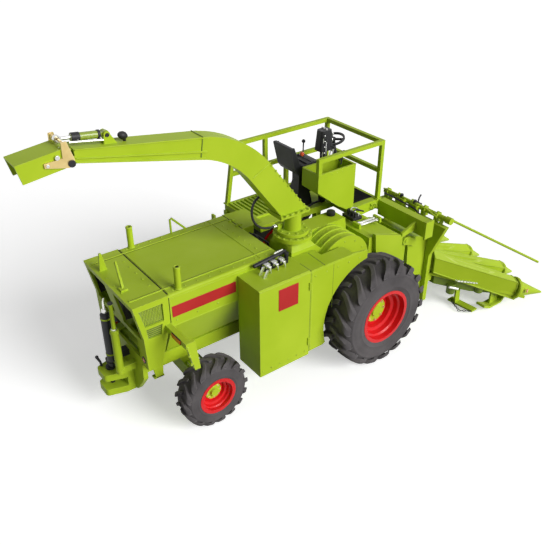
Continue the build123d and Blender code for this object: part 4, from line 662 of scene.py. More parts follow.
class Repeats:
    """Geometry Nodes that copy one shape along a row, a ring or a chain."""

    def __init__(self) -> None:
        """Builds the tree, with its sizes as named inputs."""
        vector, whole = "NodeSocketVector", "NodeSocketInt"
        graph, source, sink = open_group(
            "repeat",
            "GeometryNodeTree",
            {
                "Shape": ("NodeSocketGeometry", None),
                "Count": (whole, 4),
                "Centre": (vector, (0, 0, 0)),
                "Step": (vector, (0, 0, 0)),
                "Axis": (vector, (0, 1, 0)),
                "Turn": (FLOAT, 0.0),
                "Finish": ("NodeSocketMaterial", None),
            },
            {"Shape": "NodeSocketGeometry"},
        )
        index = graph.add("GeometryNodeInputIndex").outputs[0]
        given = source.outputs
        place = graph.add("ShaderNodeVectorMath", {0: given["Step"], 3: index}, operation="SCALE").outputs[0]
        points = graph.add("GeometryNodePoints", {"Count": given["Count"], "Position": place}).outputs[0]
        inward = graph.add("ShaderNodeVectorMath", {0: given["Centre"], 3: -1.0}, operation="SCALE").outputs[0]
        centred = graph.add("GeometryNodeTransform", {"Geometry": given["Shape"], "Translation": inward})
        turn = graph.add(
            "FunctionNodeAxisAngleToRotation",
            {"Axis": given["Axis"], "Angle": graph.calc("MULTIPLY", index, given["Turn"])},
        )
        copies = graph.add(
            "GeometryNodeInstanceOnPoints",
            {"Points": points, "Instance": centred.outputs[0], "Rotation": turn.outputs[0]},
        )
        back = graph.add("GeometryNodeTransform", {"Geometry": copies.outputs[0], "Translation": given["Centre"]})
        real = graph.add("GeometryNodeRealizeInstances", {"Geometry": back.outputs[0]})
        done = graph.add("GeometryNodeSetMaterial", {"Geometry": real.outputs[0], "Material": given["Finish"]})
        graph.tree.links.new(done.outputs[0], sink.inputs[0])
        self.tree = graph.tree

    def run(self, base: Sculpt, name: str, material: bpy.types.Material, count: int, centre: Point = (0, 0, 0),
            step: Point = (0, 0, 0), axis: Point = (0, 1, 0), turn: float = 0.0) -> bpy.types.Object:
        """Copies a shape and gives the result as one plain mesh object.

        Args:
            base: The shape.
            name: The result's name.
            material: Its material.
            count: How many copies, the first in place.
            centre: A point on the axis, in millimetres about the datum.
            step: Shift from one copy to the next, in millimetres.
            axis: Axis of the turn.
            turn: Turn from one copy to the next, in radians.

        Returns:
            The object, not yet on a body.
        """
        datum = base.datum
        shape = bpy.data.objects.new(name + "_shape", base.mesh(name + "_shape", material))
        bpy.context.scene.collection.objects.link(shape)
        modifier = shape.modifiers.new("repeat", "NODES")
        modifier.node_group = self.tree
        values = {
            "Count": count,
            "Centre": tuple(datum.at(centre)),
            "Step": tuple(v * MM for v in step),
            "Axis": tuple(axis),
            "Turn": float(turn),
            "Finish": material,
        }
        for item in self.tree.interface.items_tree:
            if item.in_out == "INPUT" and item.name in values:
                modifier[item.identifier] = values[item.name]
        depsgraph = bpy.context.evaluated_depsgraph_get()
        plain = bpy.data.meshes.new_from_object(shape.evaluated_get(depsgraph))
        plain.name = name
        bpy.data.objects.remove(shape)
        made = bpy.data.objects.new(name, plain)
        bpy.context.scene.collection.objects.link(made)
        return made


@dataclass
class Shop:
    """What every sub-assembly works with."""

    datum: Datum
    finish: Finishes
    repeats: Repeats

    def sculpt(self) -> Sculpt:
        """Starts a new mesh."""
        return Sculpt(self.datum)

    def fit(self, work: Sculpt, name: str, look: Look, edge: float = 0.0, body: str = "chassis",
            replaces: Sequence[str] = ()) -> bpy.types.Object:
        """Finishes a mesh in work as a piece that rides on a body.

        Args:
            work: The mesh in work.
            name: The piece's name.
            look: Its finish and slot.
            edge: Width of its rounded edges in millimetres, or 0.
            body: The body that it rides on.
            replaces: CAD nodes that it stands for.

        Returns:
            The piece.
        """
        made = bpy.data.objects.new(name, work.mesh(name, self.finish[look]))
        return mount(made, body, edge, replaces)

    def run(self, work: Sculpt, name: str, look: Look, count: int, body: str = "chassis",
            replaces: Sequence[str] = (), **places: object) -> bpy.types.Object:
        """Copies a mesh in work and finishes the copies as one piece.

        Args:
            work: The mesh in work.
            name: The piece's name.
            look: Its finish and slot.
            count: How many copies, the first in place.
            body: The body that it rides on.
            replaces: CAD nodes that it stands for.
            places: The centre, step, axis and turn of ``Repeats.run``.

        Returns:
            The piece.
        """
        made = self.repeats.run(work, name, self.finish[look], count, **places)
        return mount(made, body, replaces=replaces)

    def row(self, work: Sculpt, name: str, look: Look, count: int, step: Point,
            body: str = "chassis") -> bpy.types.Object:
        """Copies a mesh in work along a straight row."""
        return self.run(work, name, look, count, body, step=step)

    def ring(self, work: Sculpt, name: str, look: Look, count: int, centre: Point, axis: Point,
             body: str = "chassis", replaces: Sequence[str] = ()) -> bpy.types.Object:
        """Copies a mesh in work evenly round an axis."""
        return self.run(work, name, look, count, body, replaces, centre=centre, axis=axis, turn=2 * math.pi / count)


@dataclass
class Wheel:
    """One wheel's tyre and wheel bolts."""

    name: str
    side: int
    axle_x: float
    middle_y: float
    outer_r: float
    width: float
    bead_r: float
    lugs: int
    sweep: float
    lug_half: float
    bolt_ring: float
    bolt_face: float
    bolt_r: float
    bolts: int = 8

    @property
    def label(self) -> str:
        """Names the side that the wheel is on."""
        return "left" if self.side > 0 else "right"

    @property
    def body(self) -> str:
        """Names the wheel's body."""
        return f"{self.name}_wheel_{self.label}"

    @property
    def centre(self) -> Point:
        """Gives the wheel's middle."""
        return (self.axle_x, self.side * self.middle_y, self.outer_r)

    def _section(self) -> list[Point]:
        """Draws half of the carcass section from the bead to the crown.

        Returns:
            Points as radius and distance from the middle plane.
        """
        half, bead = self.width / 2, self.bead_r
        rise = self.outer_r - bead
        flange = min(half * 0.85, half - 0.95)
        return [
            (bead + 0.05, flange),
            (bead + 0.72, flange + 0.03),
            (bead + 0.74, flange + 0.75 if half > 6 else flange + 0.8),
            (bead + 0.115 * rise, half * 0.965),
            (bead + 0.185 * rise, half * 0.982),
            (bead + 0.2 * rise, half * 0.996),
            (bead + 0.225 * rise, half * 0.996),
            (bead + 0.24 * rise, half * 0.984),
            (bead + 0.36 * rise, half * 0.996),
            (bead + 0.5 * rise, half * 0.992),
            (bead + 0.6 * rise, half * 0.972),
            (bead + 0.615 * rise, half * 0.98),
            (bead + 0.64 * rise, half * 0.962),
            (bead + 0.72 * rise, half * 0.9),
            (bead + 0.79 * rise, half * 0.81),
            (bead + 0.84 * rise, half * 0.68),
            (bead + 0.865 * rise, half * 0.45),
            (bead + 0.875 * rise, half * 0.2),
        ]

    def _carcass(self, shop: Shop) -> Sculpt:
        """Turns the carcass.

        Args:
            shop: The shared tools.

        Returns:
            The carcass's mesh in work.
        """
        right = self._section()
        left = [(r, -h) for r, h in reversed(right)]
        return shop.sculpt().lathe(right + left, self.centre, LEFTWARDS, 96)

    def _lug(self, sculpt: Sculpt, half_side: int, start: float) -> None:
        """Adds one tread lug, from the middle of the tread over the shoulder.

        Args:
            sculpt: The mesh in work.
            half_side: Which half of the tread, +1 or -1.
            start: Its angle at the middle.
        """
        half, rise = self.width / 2, self.outer_r - self.bead_r
        root = self.bead_r + 0.8 * rise
        stations = [
            (-0.05, 0.0, 0.999, 0.62), (0.2, 0.08, 1.0, 0.7), (0.45, 0.28, 0.996, 0.78), (0.68, 0.52, 0.988, 0.9),
            (0.86, 0.76, 0.974, 1.02), (0.955, 0.9, 0.95, 1.1), (0.992, 0.98, 0.915, 1.12), (0.995, 1.04, 0.87, 1.0),
            (0.975, 1.1, 0.838, 0.66),
        ]
        rings = []
        for across, share, top, thick in stations:
            turn = start - self.sweep * share
            low = min(root, self.outer_r * top - 0.35)
            low = root - 0.9 * max(0.0, across - 0.8) * rise * 0.5 if across > 0.8 else low
            wide = self.lug_half * thick
            ring = []
            crown = self.outer_r * top
            for r, w, inset in ((low, 1.0, 0.0), (crown - 0.25, 0.86, 0.0), (crown, 0.66, 0.1), (crown, -0.66, 0.1),
                                (crown - 0.25, -0.86, 0.0), (low, -1.0, 0.0)):
                a = turn + wide * w / self.outer_r
                y = half_side * (across * half - (inset if across > 0.9 else 0))
                ring.append((self.axle_x + r * math.sin(a), self.side * self.middle_y + y,
                             self.outer_r + r * math.cos(a)))
            rings.append(ring)
        sculpt.loft(rings)

    def build(self, shop: Shop) -> None:
        """Builds the tyre in place of the CAD one, and the wheel bolts.

        Args:
            shop: The shared tools.
        """
        node = f"{self.name}_tyre_{self.label}"
        carcass = shop.fit(self._carcass(shop), node + "_carcass", Look.TYRE, body=self.body, replaces=[node])
        carcass.data.set_sharp_from_angle(angle=math.radians(50))
        pitch = 2 * math.pi / self.lugs
        pair = shop.sculpt()
        self._lug(pair, +1, 0.0)
        self._lug(pair, -1, pitch / 2)
        shop.ring(pair, node + "_tread", Look.TYRE, self.lugs, self.centre, LEFTWARDS, self.body, [node])
        outward = (0, self.side, 0)
        at = (self.axle_x, self.side * self.bolt_face, self.outer_r + self.bolt_ring)
        bolt = shop.sculpt().bolt(at, outward, self.bolt_r, self.bolt_r * 1.1)
        name = f"{self.name}_wheel_bolts_{self.label}"
        shop.ring(bolt, name, Look.BRASS, self.bolts, self.centre, outward, self.body)


@dataclass
class EngineHood:
    """Trim of the engine hood and the rear cowl."""

    half: float = 21.2
    top: float = 59.7
    rear: float = -90.8
    front: float = -40.0
    bead_y: float = 16.4
    cowl_rear: float = -105.9
    stub_x: float = -85.7
    stub_y: float = 19.2
    windows: tuple = (
        ((-103.6, 57.4), (-93.8, 57.4), (-93.8, 49.6), (-101.6, 49.6)),
        ((-101.4, 48.4), (-94.6, 48.4), (-95.4, 43.8), (-100.9, 43.8)),
    )

    def beads(self, shop: Shop) -> None:
        """Adds the raised joints of the sheets, on top and on the sides.

        Args:
            shop: The shared tools.
        """
        top, half = self.top, self.half
        work = shop.sculpt()
        for side in (-1, 1):
            y = side * self.bead_y
            work.box((self.cowl_rear + 1.2, y - 0.35, top - 0.1), (self.front - 0.6, y + 0.35, top + 0.28))
            work.box((self.rear - 0.2, side * half - 0.12, 45.2), (self.rear + 0.55, side * half + 0.16, top - 1.2))
            work.box((self.rear + 0.6, side * half - 0.1, 57.7), (self.front, side * half + 0.14, 58.25))
            work.box((self.rear + 0.6, side * half - 0.1, 45.1), (self.front, side * half + 0.14, 45.6))
        work.box((self.rear + 0.25, -half + 1.3, top - 0.1), (self.rear + 0.75, half - 1.3, top + 0.24))
        work.box((-48.4, -half + 1.3, top - 0.1), (-47.8, half - 1.3, top + 0.22))
        shop.fit(work, "hood_sheet_joints", Look.PAINT, edge=0.1)
        back, pin_x = self.front + 0.1, self.front + 0.4
        step = shop.sculpt()
        step.prism(((back, 5.6), (-29.0, 5.6), (-28.0, 20.2), (back, half)), Axis.Z, top - 0.7, top - 0.1)
        step.prism(((back, 4.8), (-34.0, 4.8), (-34.0, 5.6), (back, 5.6)), Axis.Z, top - 4.0, top)
        for y in (13.7, 8.4):
            step.box((self.front - 1.2, y - 0.6, top - 0.1), (self.front + 2.0, y + 0.6, top + 0.5))
            step.rod((pin_x, y - 0.9, top + 0.5), (pin_x, y + 0.9, top + 0.5), 0.45, 10)
        shop.fit(step, "hood_front_step", Look.PAINT, edge=0.12)
        # The gaps between the sheets are painted shade: black strips on the paint.
        gaps = shop.sculpt()
        gaps.box((self.front - 0.1, 5.0, top - 0.2), (self.front + 0.3, half - 0.6, top + 0.02))
        gaps.box((self.rear - 0.42, -half + 0.9, top - 0.1), (self.rear + 0.02, half - 0.9, top + 0.05))
        for side in (-1, 1):
            gaps.box((self.rear - 0.45, side * half - 0.05, 45.4), (self.rear - 0.15, side * half + 0.05, top - 1.0))
            y = side * (self.bead_y - 0.62)
            gaps.box((self.cowl_rear + 1.2, y - 0.12, top - 0.1), (self.front - 0.6, y + 0.12, top + 0.04))
        shop.fit(gaps, "hood_gap_painted_shade", Look.SHADE_IN_GAPS)

    def bolts(self, shop: Shop) -> None:
        """Adds the rows of small bolts that hold the top sheets.

        Args:
            shop: The shared tools.
        """
        for label, x, count, pitch in (("hood_front_bolts", -45.2, 9, 4.1), ("cowl_bolts", -93.4, 7, 5.4),
                                       ("cowl_rear_bolts", -104.2, 6, 6.4)):
            width = (count - 1) * pitch
            bolt = shop.sculpt().bolt((x, -width / 2, self.top), UP, 0.34, 0.3)
            shop.row(bolt, label, Look.PAINT, count, (0, pitch, 0))
        for side, label in SIDES:
            bolt = shop.sculpt().bolt((-88.0, side * 18.9, self.top), UP, 0.3, 0.26)
            shop.row(bolt, f"hood_edge_bolts_{label}", Look.PAINT, 9, (5.4, 0, 0))
            stud = shop.sculpt().bolt((-88.4, side * self.half, 47.6), (0, side, 0), 0.32, 0.28)
            shop.row(stud, f"hood_side_bolts_{label}", Look.PAINT, 6, (9.2, 0, 0))

    def plates(self, shop: Shop) -> None:
        """Adds the plain red strip, which carries nothing, and the stubs' bores darkened with painted shade.

        Args:
            shop: The shared tools.
        """
        strip = shop.sculpt().prism(((-90.2, 49.4), (-61.4, 49.6), (-61.4, 54.5), (-90.2, 54.3)), Axis.Y,
                                    -self.half - 0.18, -self.half + 0.05)
        shop.fit(strip, "hood_red_strip", Look.FILM, edge=0.06)
        # Black sleeves in the stubs' bores are painted shade.
        bores = shop.sculpt()
        rims = shop.sculpt()
        for side in (-1, 1):
            bores.rod((self.stub_x, side * self.stub_y, 61.6), (self.stub_x, side * self.stub_y, 69.0), 0.82, 20)
            for z, r, rise in ((self.top, 1.5, 0.05), (68.7, 1.44, 0.1)):
                rims.lathe(((1.28, 0), (r, rise), (r, 0.5), (1.28, 0.6)), (self.stub_x, side * self.stub_y, z), UP, 28)
        shop.fit(bores, "stub_bore_painted_shade", Look.SHADE_IN_GAPS)
        shop.fit(rims, "stub_collars", Look.PAINT, edge=0.06)

    def irons(self, shop: Shop) -> None:
        """Adds the cowl's upright fin and slanted bar, and the bent rod at the hood's left edge.

        Args:
            shop: The shared tools.
        """
        work = shop.sculpt()
        work.prism(((-104.2, 59.6), (-101.0, 59.6), (-102.6, 67.4), (-103.5, 67.4)), Axis.Y, 9.2, 10.0)
        work.tube([(-102.6, -7.6, 59.4), (-102.2, -5.2, 62.6), (-100.9, 0.6, 67.4)], [0.75, 0.62, 0.55], 4)
        work.box((-104.0, -9.0, 59.6), (-101.2, -6.2, 60.4))
        work.tube([(-66.3, 20.3, 59.4), (-66.3, 20.6, 65.8), (-65.6, 20.6, 66.2), (-59.4, 20.3, 59.6)], 0.5, 8)
        shop.fit(work, "hood_irons", Look.PAINT, edge=0.08)

    def gauze(self, shop: Shop) -> None:
        """Adds the cowl's side windows: gauze above and slats below.

        Args:
            shop: The shared tools.
        """
        for side, label in SIDES:
            face = side * (self.half - 0.98)
            wires, posts, out = face + side * 0.2, face + side * 0.3, face + side * 0.55
            pane = shop.sculpt()
            for window in self.windows:
                pane.prism(window, Axis.Y, face, face + side * 0.12)
            shop.fit(pane, f"cowl_panes_{label}", Look.GAUZE)
            wire = shop.sculpt().tube([(-103.0, wires, 50.4), (-93.9, wires, 50.4)], 0.1, 4)
            shop.row(wire, f"cowl_gauze_{label}", Look.PAINT, 12, (0.0, 0, 0.58))
            upright = shop.sculpt().tube([(-101.8, posts, 49.8), (-101.8, posts, 57.2)], 0.1, 4)
            shop.row(upright, f"cowl_gauze_uprights_{label}", Look.PAINT, 13, (0.62, 0, 0))
            slat = shop.sculpt()
            slat.prism(((face, 44.2), (out, 44.75), (out, 44.95), (face, 44.5)), Axis.X, -101.0, -95.0)
            shop.row(slat, f"cowl_slats_{label}", Look.PAINT, 5, (0, 0, 0.86))

    def build(self, shop: Shop) -> None:
        """Builds the hood's trim."""
        for step in (self.beads, self.bolts, self.plates, self.irons, self.gauze):
            step(shop)


@dataclass
class RearEnd:
    """Fittings behind and below the cowl."""

    lamp_x: float = -93.6
    canister: tuple = (-109, -2)
    ram: tuple = (-108.6, -8)

    def fittings(self, shop: Shop) -> None:
        """Adds the fittings and bands of the canister and the ram, and the hitch lever.

        Args:
            shop: The shared tools.
        """
        steel = shop.sculpt()
        steel.lathe(((0, 0), (1.1, 0), (1.25, 0.3), (1.25, 1.2), (0.8, 1.6), (0, 1.6)), (*self.canister, 48.9), UP, 24)
        steel.tube([(*self.canister, 50.2), (*self.canister, 52.2), (-108.6, -1.2, 52.9), (-107.4, 0.8, 52.9)],
                   0.55, 10)
        steel.lathe(((0.8, 0), (1.15, 0), (1.15, 0.8), (0.8, 0.8)), (*self.ram, 44.0), UP, 20)
        steel.rod((-107.2, -5.0, 40.0), (-107.2, -5.0, 54.0), 0.5, 12)
        steel.rod((-107.2, -5.0, 39.0), (-107.2, -5.0, 41.0), 0.8, 6)
        shop.fit(steel, "rear_bright_fittings", Look.STEEL, edge=0.08)
        dark = shop.sculpt()
        dark.tube([(-111.9, 3.2, 20.3), (-112.2, 3.3, 22.6), (-112.9, 4.4, 24.4)], [0.55, 0.5, 0.6], 8)
        dark.knob((-112.9, 4.5, 24.6), 0.75)
        dark.rod((*self.ram, 56.0), (*self.ram, 56.5), 1.0, 14)
        shop.fit(dark, "rear_dark_fittings", Look.DARK)
        bands = shop.sculpt()
        for z in (29.0, 46.0):
            bands.lathe(((1.98, 0), (2.12, 0.05), (2.12, 0.75), (1.98, 0.8)), (*self.canister, z), UP, 28)
        for z in (24.2, 42.4):
            bands.lathe(((1.58, 0), (1.8, 0.05), (1.8, 0.85), (1.58, 0.9)), (*self.ram, z), UP, 24)
        shop.fit(bands, "rear_bands", Look.PAINT, edge=0.05)

    def iron(self, shop: Shop) -> None:
        """Adds the foot brackets below the cowl, and the plates' bolts.

        Args:
            shop: The shared tools.
        """
        work = shop.sculpt()
        for side in (-1, 1):
            work.prism(((-98.6, 28.8), (-93.0, 28.8), (-93.6, 18.4), (-96.8, 18.4)), Axis.Y, side * 15.0, side * 14.3)
            work.box((-97.6, min(side * 15.0, side * 12.6), 18.3), (-93.2, max(side * 15.0, side * 12.6), 19.0))
        shop.fit(work, "cowl_foot_brackets", Look.PAINT, edge=0.08)
        for side, label in SIDES:
            bolt = shop.sculpt().bolt((-92.9, side * 36.2, 45.6), (0, side, 0), 0.42, 0.35)
            shop.row(bolt, f"lamp_plate_bolts_{label}", Look.PAINT, 3, (0.55, 0, -4.1))

    def lamps(self, shop: Shop) -> None:
        """Adds the rear reflectors on the beams and the cowl's lower corners.

        Args:
            shop: The shared tools.
        """
        work = shop.sculpt()
        rims = shop.sculpt()
        for side in (-1, 1):
            low, high = sorted((side * 26.5, side * 32.5))
            work.box((self.lamp_x - 0.55, low, 45.35), (self.lamp_x + 0.05, high, 47.05))
            for z in (45.15, 47.05):
                rims.box((self.lamp_x - 0.35, low - 0.2, z), (self.lamp_x + 0.05, high + 0.2, z + 0.2))
            corner = (-102.35, side * 18.2, 33.0)
            work.lathe(((0, 0), (0, -0.6), (0.8, -0.5), (1.15, -0.2), (1.15, 0)), corner, AHEAD, 24)
            rims.lathe(((1.1, -0.35), (1.5, -0.3), (1.5, 0.3), (1.1, 0.3)), corner, AHEAD, 24)
            work.lathe(((0, 0), (0, 0.5), (0.8, 0.42), (1.1, 0.15), (1.1, 0)), (-98.6, side * 15.6, 28.4),
                       (0, side, 0), 24)
        shop.fit(work, "rear_reflectors", Look.LENS, edge=0.08)
        shop.fit(rims, "rear_reflector_rims", Look.DARK)

    def build(self, shop: Shop) -> None:
        """Builds the rear fittings."""
        for step in (self.fittings, self.iron, self.lamps):
            step(shop)


@dataclass
class SideBox:
    """Trim of the side box and the wheel guard."""

    outer: float = 36.0
    top: float = 56.7
    rear: float = -60.5
    front: float = -35.0

    def build(self, shop: Shop) -> None:
        """Adds the plain red square, the sheets' gaps in painted shade and their folds, and the valves on its top.

        Args:
            shop: The shared tools.
        """
        plate = shop.sculpt().box((-51.3, -self.outer - 0.2, 43.9), (-41.5, -self.outer + 0.05, 53.9))
        shop.fit(plate, "box_red_square", Look.FILM, edge=0.06)
        self._seams(shop)
        self._valves(shop)

    def _seams(self, shop: Shop) -> None:
        """Adds the sheets' gaps as painted shade, folded edges, hinges and bolts.

        Args:
            shop: The shared tools.
        """
        out = self.outer
        # The guard's gaps are painted shade: strips in the shaded copy of the paint.
        gap = shop.sculpt()
        gap.box((-35.15, -out - 0.03, 16.2), (-34.9, -out + 0.1, self.top))
        gap.box((-23.1, -out - 0.03, 34.0), (-22.9, -out + 0.1, self.top - 0.2))
        gap.box((-35.2, -out, self.top - 0.1), (-34.85, -28.8, self.top + 0.03))
        gap.prism(((-27.3, -24.4), (-26.9, -24.4), (-27.5, -35.9), (-27.9, -35.9)), Axis.Z, self.top - 0.1,
                  self.top + 0.03)
        shop.fit(gap, "guard_gap_painted_shade", Look.DEEP)
        fold = shop.sculpt()
        fold.box((self.rear, -out - 0.12, self.top - 0.9), (-4.6, -out + 0.1, self.top - 0.45))
        fold.box((self.rear + 0.4, -out - 0.1, 14.6), (self.front - 0.3, -out + 0.1, 15.2))
        fold.box((-34.6, -out - 0.12, 16.4), (-34.1, -out + 0.1, self.top - 0.9))
        fold.box((self.rear + 0.3, -out + 0.6, self.top - 0.1), (self.front - 0.3, -out + 1.0, self.top + 0.14))
        for z in (20.0, 48.0):
            fold.rod((-35.6, -out - 0.25, z), (-35.6, -out - 0.25, z + 3.6), 0.42, 10)
        shop.fit(fold, "box_folds", Look.PAINT, edge=0.08)
        bolt = shop.sculpt().bolt((-59.2, -out, 17.2), RIGHTWARDS, 0.32, 0.28)
        shop.row(bolt, "box_lower_bolts", Look.PAINT, 6, (4.4, 0, 0))
        rivet = shop.sculpt().bolt((-32.6, -out, 53.4), RIGHTWARDS, 0.3, 0.24)
        shop.row(rivet, "guard_bolts", Look.PAINT, 5, (6.0, 0, 0))

    def _valves(self, shop: Shop) -> None:
        """Adds the bank of valves between the box's top and the hood.

        Args:
            shop: The shared tools.
        """
        black, bright = shop.sculpt(), shop.sculpt()
        black.rod((-54.0, -23.2, 59.4), (-37.2, -21.8, 60.2), 0.85, 12)
        black.box((-50.6, -25.4, 56.6), (-38.4, -22.6, 58.2))
        black.rod((-38.0, -23.6, 57.0), (-38.0, -23.6, 60.6), 0.9, 12)
        for x in (-48.8, -45.2, -41.6):
            bright.box((x - 1.1, -25.8, 58.1), (x + 1.1, -23.4, 59.6))
            bright.lathe(((0, 0), (0.75, 0), (0.75, 1.3), (0.45, 1.6), (0, 1.6)), (x, -25.8, 58.8), RIGHTWARDS, 16)
            bright.tube([(x, -26.6, 58.8), (x, -27.3, 58.5), (x, -27.6, 57.4), (x, -27.6, 56.6)], 0.3, 8)
        for y in (-29.6, -26.6):
            bright.prism(((-53.6, 56.6), (-52.4, 56.6), (-51.0, 59.8), (-51.8, 59.9)), Axis.Y, y, y + 0.7)
        bright.rod((-43.4, -22.3, 61.2), (-38.8, -22.0, 61.4), 0.42, 10)
        shop.fit(black, "valve_bank", Look.DARK, edge=0.1)
        shop.fit(bright, "valve_pipes", Look.STEEL, edge=0.08)


@dataclass
class CropHousings:
    """Fittings of the blower, the tower and the cutter housing."""

    tower: tuple = (-28.5, CROP_LINE_Y)
    drum: tuple = (-9.0, 45.0)
    drum_r: float = 14.0
    drum_bands: tuple = (-25.9, -21.2, -17.3, -13.6)
    drum_face: float = -27.0
    first_rivet: float = -0.95
    rivet_pitch: float = 0.17
    turntable_z: float = 63.5
    flange_z: float = 65.3

    def fasteners(self, shop: Shop) -> None:
        """Adds bolt circles round the turntable and rivets round the drum.

        Args:
            shop: The shared tools.
        """
        x, y = self.tower
        bolt = shop.sculpt().bolt((x + 7.4, y, self.turntable_z), UP, 0.42, 0.4)
        shop.ring(bolt, "turntable_bolts", Look.PAINT, 16, (x, y, self.turntable_z), UP)
        head = shop.sculpt().bolt((x + 5.6, y, self.flange_z), UP, 0.45, 0.5)
        shop.ring(head, "spout_flange_bolts", Look.PAINT, 10, (x, y, self.flange_z), UP, body="spout")
        dx, dz = self.drum
        out = (math.sin(self.first_rivet), 0, math.cos(self.first_rivet))
        for i, across in enumerate(self.drum_bands):
            at = (dx + self.drum_r * out[0], across, dz + self.drum_r * out[2])
            rivet = shop.sculpt().bolt(at, out, 0.26, 0.2)
            shop.run(rivet, f"drum_rivets_{i + 1}", Look.PAINT, 11, centre=(dx, across, dz), turn=self.rivet_pitch)
        side = shop.sculpt().bolt((dx + 12.2, self.drum_face, dz), RIGHTWARDS, 0.36, 0.3)
        shop.ring(side, "drum_cover_bolts", Look.PAINT, 12, (dx, self.drum_face, dz), LEFTWARDS)

    def linkage(self, shop: Shop) -> None:
        """Adds the lever, rods and valves on the housings' tops.

        Args:
            shop: The shared tools.
        """
        black, bright, paint = shop.sculpt(), shop.sculpt(), shop.sculpt()
        black.lathe(((0, 0), (1.9, 0), (2.1, 0.5), (1.9, 1.9), (1.2, 2.3), (0, 2.3)), (0.2, -7.2, 59.0), UP, 24)
        black.box((8.2, -13.6, 55.4), (13.6, -6.2, 57.0))
        for y in (-12.6, -10.4, -8.2):
            black.rod((10.2, y, 57.0), (10.2, y, 59.2), 0.7, 12)
            bright.rod((12.2, y, 56.8), (12.2, y, 58.4), 0.45, 10)
        for y in (-15.4, -17.2):
            bright.rod((9.4, y, 55.0), (19.6, y, 54.4), 0.62, 12)
            bright.rod((8.4, y, 55.1), (10.4, y, 55.0), 0.95, 6)
            bright.rod((18.6, y, 54.45), (20.4, y, 54.4), 0.95, 6)
        paint.box((7.4, -18.6, 53.6), (8.6, -14.0, 56.2))
        paint.box((20.2, -18.6, 53.2), (21.4, -14.0, 55.8))
        bright.tube([(13.4, -5.8, 56.2), (15.6, -4.6, 56.8), (18.8, -4.2, 55.6), (22.0, -4.4, 53.2)], 0.4, 10)
        black.tube([(13.4, -7.4, 56.2), (16.4, -7.0, 56.6), (20.4, -7.6, 54.8)], 0.4, 10)
        shop.fit(black, "housing_valves", Look.DARK, edge=0.1)
        shop.fit(bright, "housing_rods", Look.STEEL, edge=0.08)
        shop.fit(paint, "housing_brackets", Look.PAINT, edge=0.1)

    def engine(self, shop: Shop) -> None:
        """Adds the drive between the hood and the tower, with its block in painted shade.

        Args:
            shop: The shared tools.
        """
        shaded_green, black, bright = shop.sculpt(), shop.sculpt(), shop.sculpt()
        shaded_green.box((-39.6, -12.0, 31.4), (-37.6, 13.5, 56.0))
        shaded_green.box((-37.6, -4.0, 31.4), (-31.0, 11.5, 47.0))
        shaded_green.box((-36.8, -2.0, 47.0), (-32.0, 9.0, 50.5))
        for y, r in ((1.5, 5.0), (9.5, 3.2)):
            black.lathe(((0, 0), (r, 0), (r, 0.5), (r - 0.7, 1.0), (r, 1.5), (r, 2.0), (0, 2.0)), (-37.4, y, 52.0),
                        (1, 0, 0), 40)
        black.tube([(-36.4, 1.5, 57.0), (-36.4, 9.7, 55.3)], 0.5, 6)
        black.tube([(-36.4, 1.0, 47.1), (-36.4, 9.4, 48.9)], 0.5, 6)
        bright.lathe(((0, 0), (1.0, 0), (1.0, 1.2), (0, 1.2)), (-35.6, 1.5, 52.0), AHEAD, 20)
        bright.tube([(-33.0, 12.0, 46.0), (-33.0, 12.6, 52.6), (-35.0, 13.6, 54.4), (-38.0, 14.6, 54.8)], 0.6, 10)
        black.tube([(-30.6, -3.0, 46.0), (-31.4, -2.0, 53.0), (-33.6, 3.0, 55.0), (-38.4, 5.0, 55.4)], 0.55, 10)
        # The block is drawn in painted shade, the darkness of the recess between hood and tower.
        shop.fit(shaded_green, "drive_block", Look.DEEP, edge=0.25)
        shop.fit(black, "drive_pulleys", Look.DARK, edge=0.08)
        shop.fit(bright, "drive_pipes", Look.STEEL, edge=0.06)
        fin = shop.sculpt().box((-37.7, -11.0, 33.0), (-37.3, -4.8, 33.5))
        shop.row(fin, "radiator_fins", Look.MAT, 22, (0, 0, 1.0))

    def build(self, shop: Shop) -> None:
        """Builds the housings' fittings."""
        for step in (self.fasteners, self.linkage, self.engine):
            step(shop)


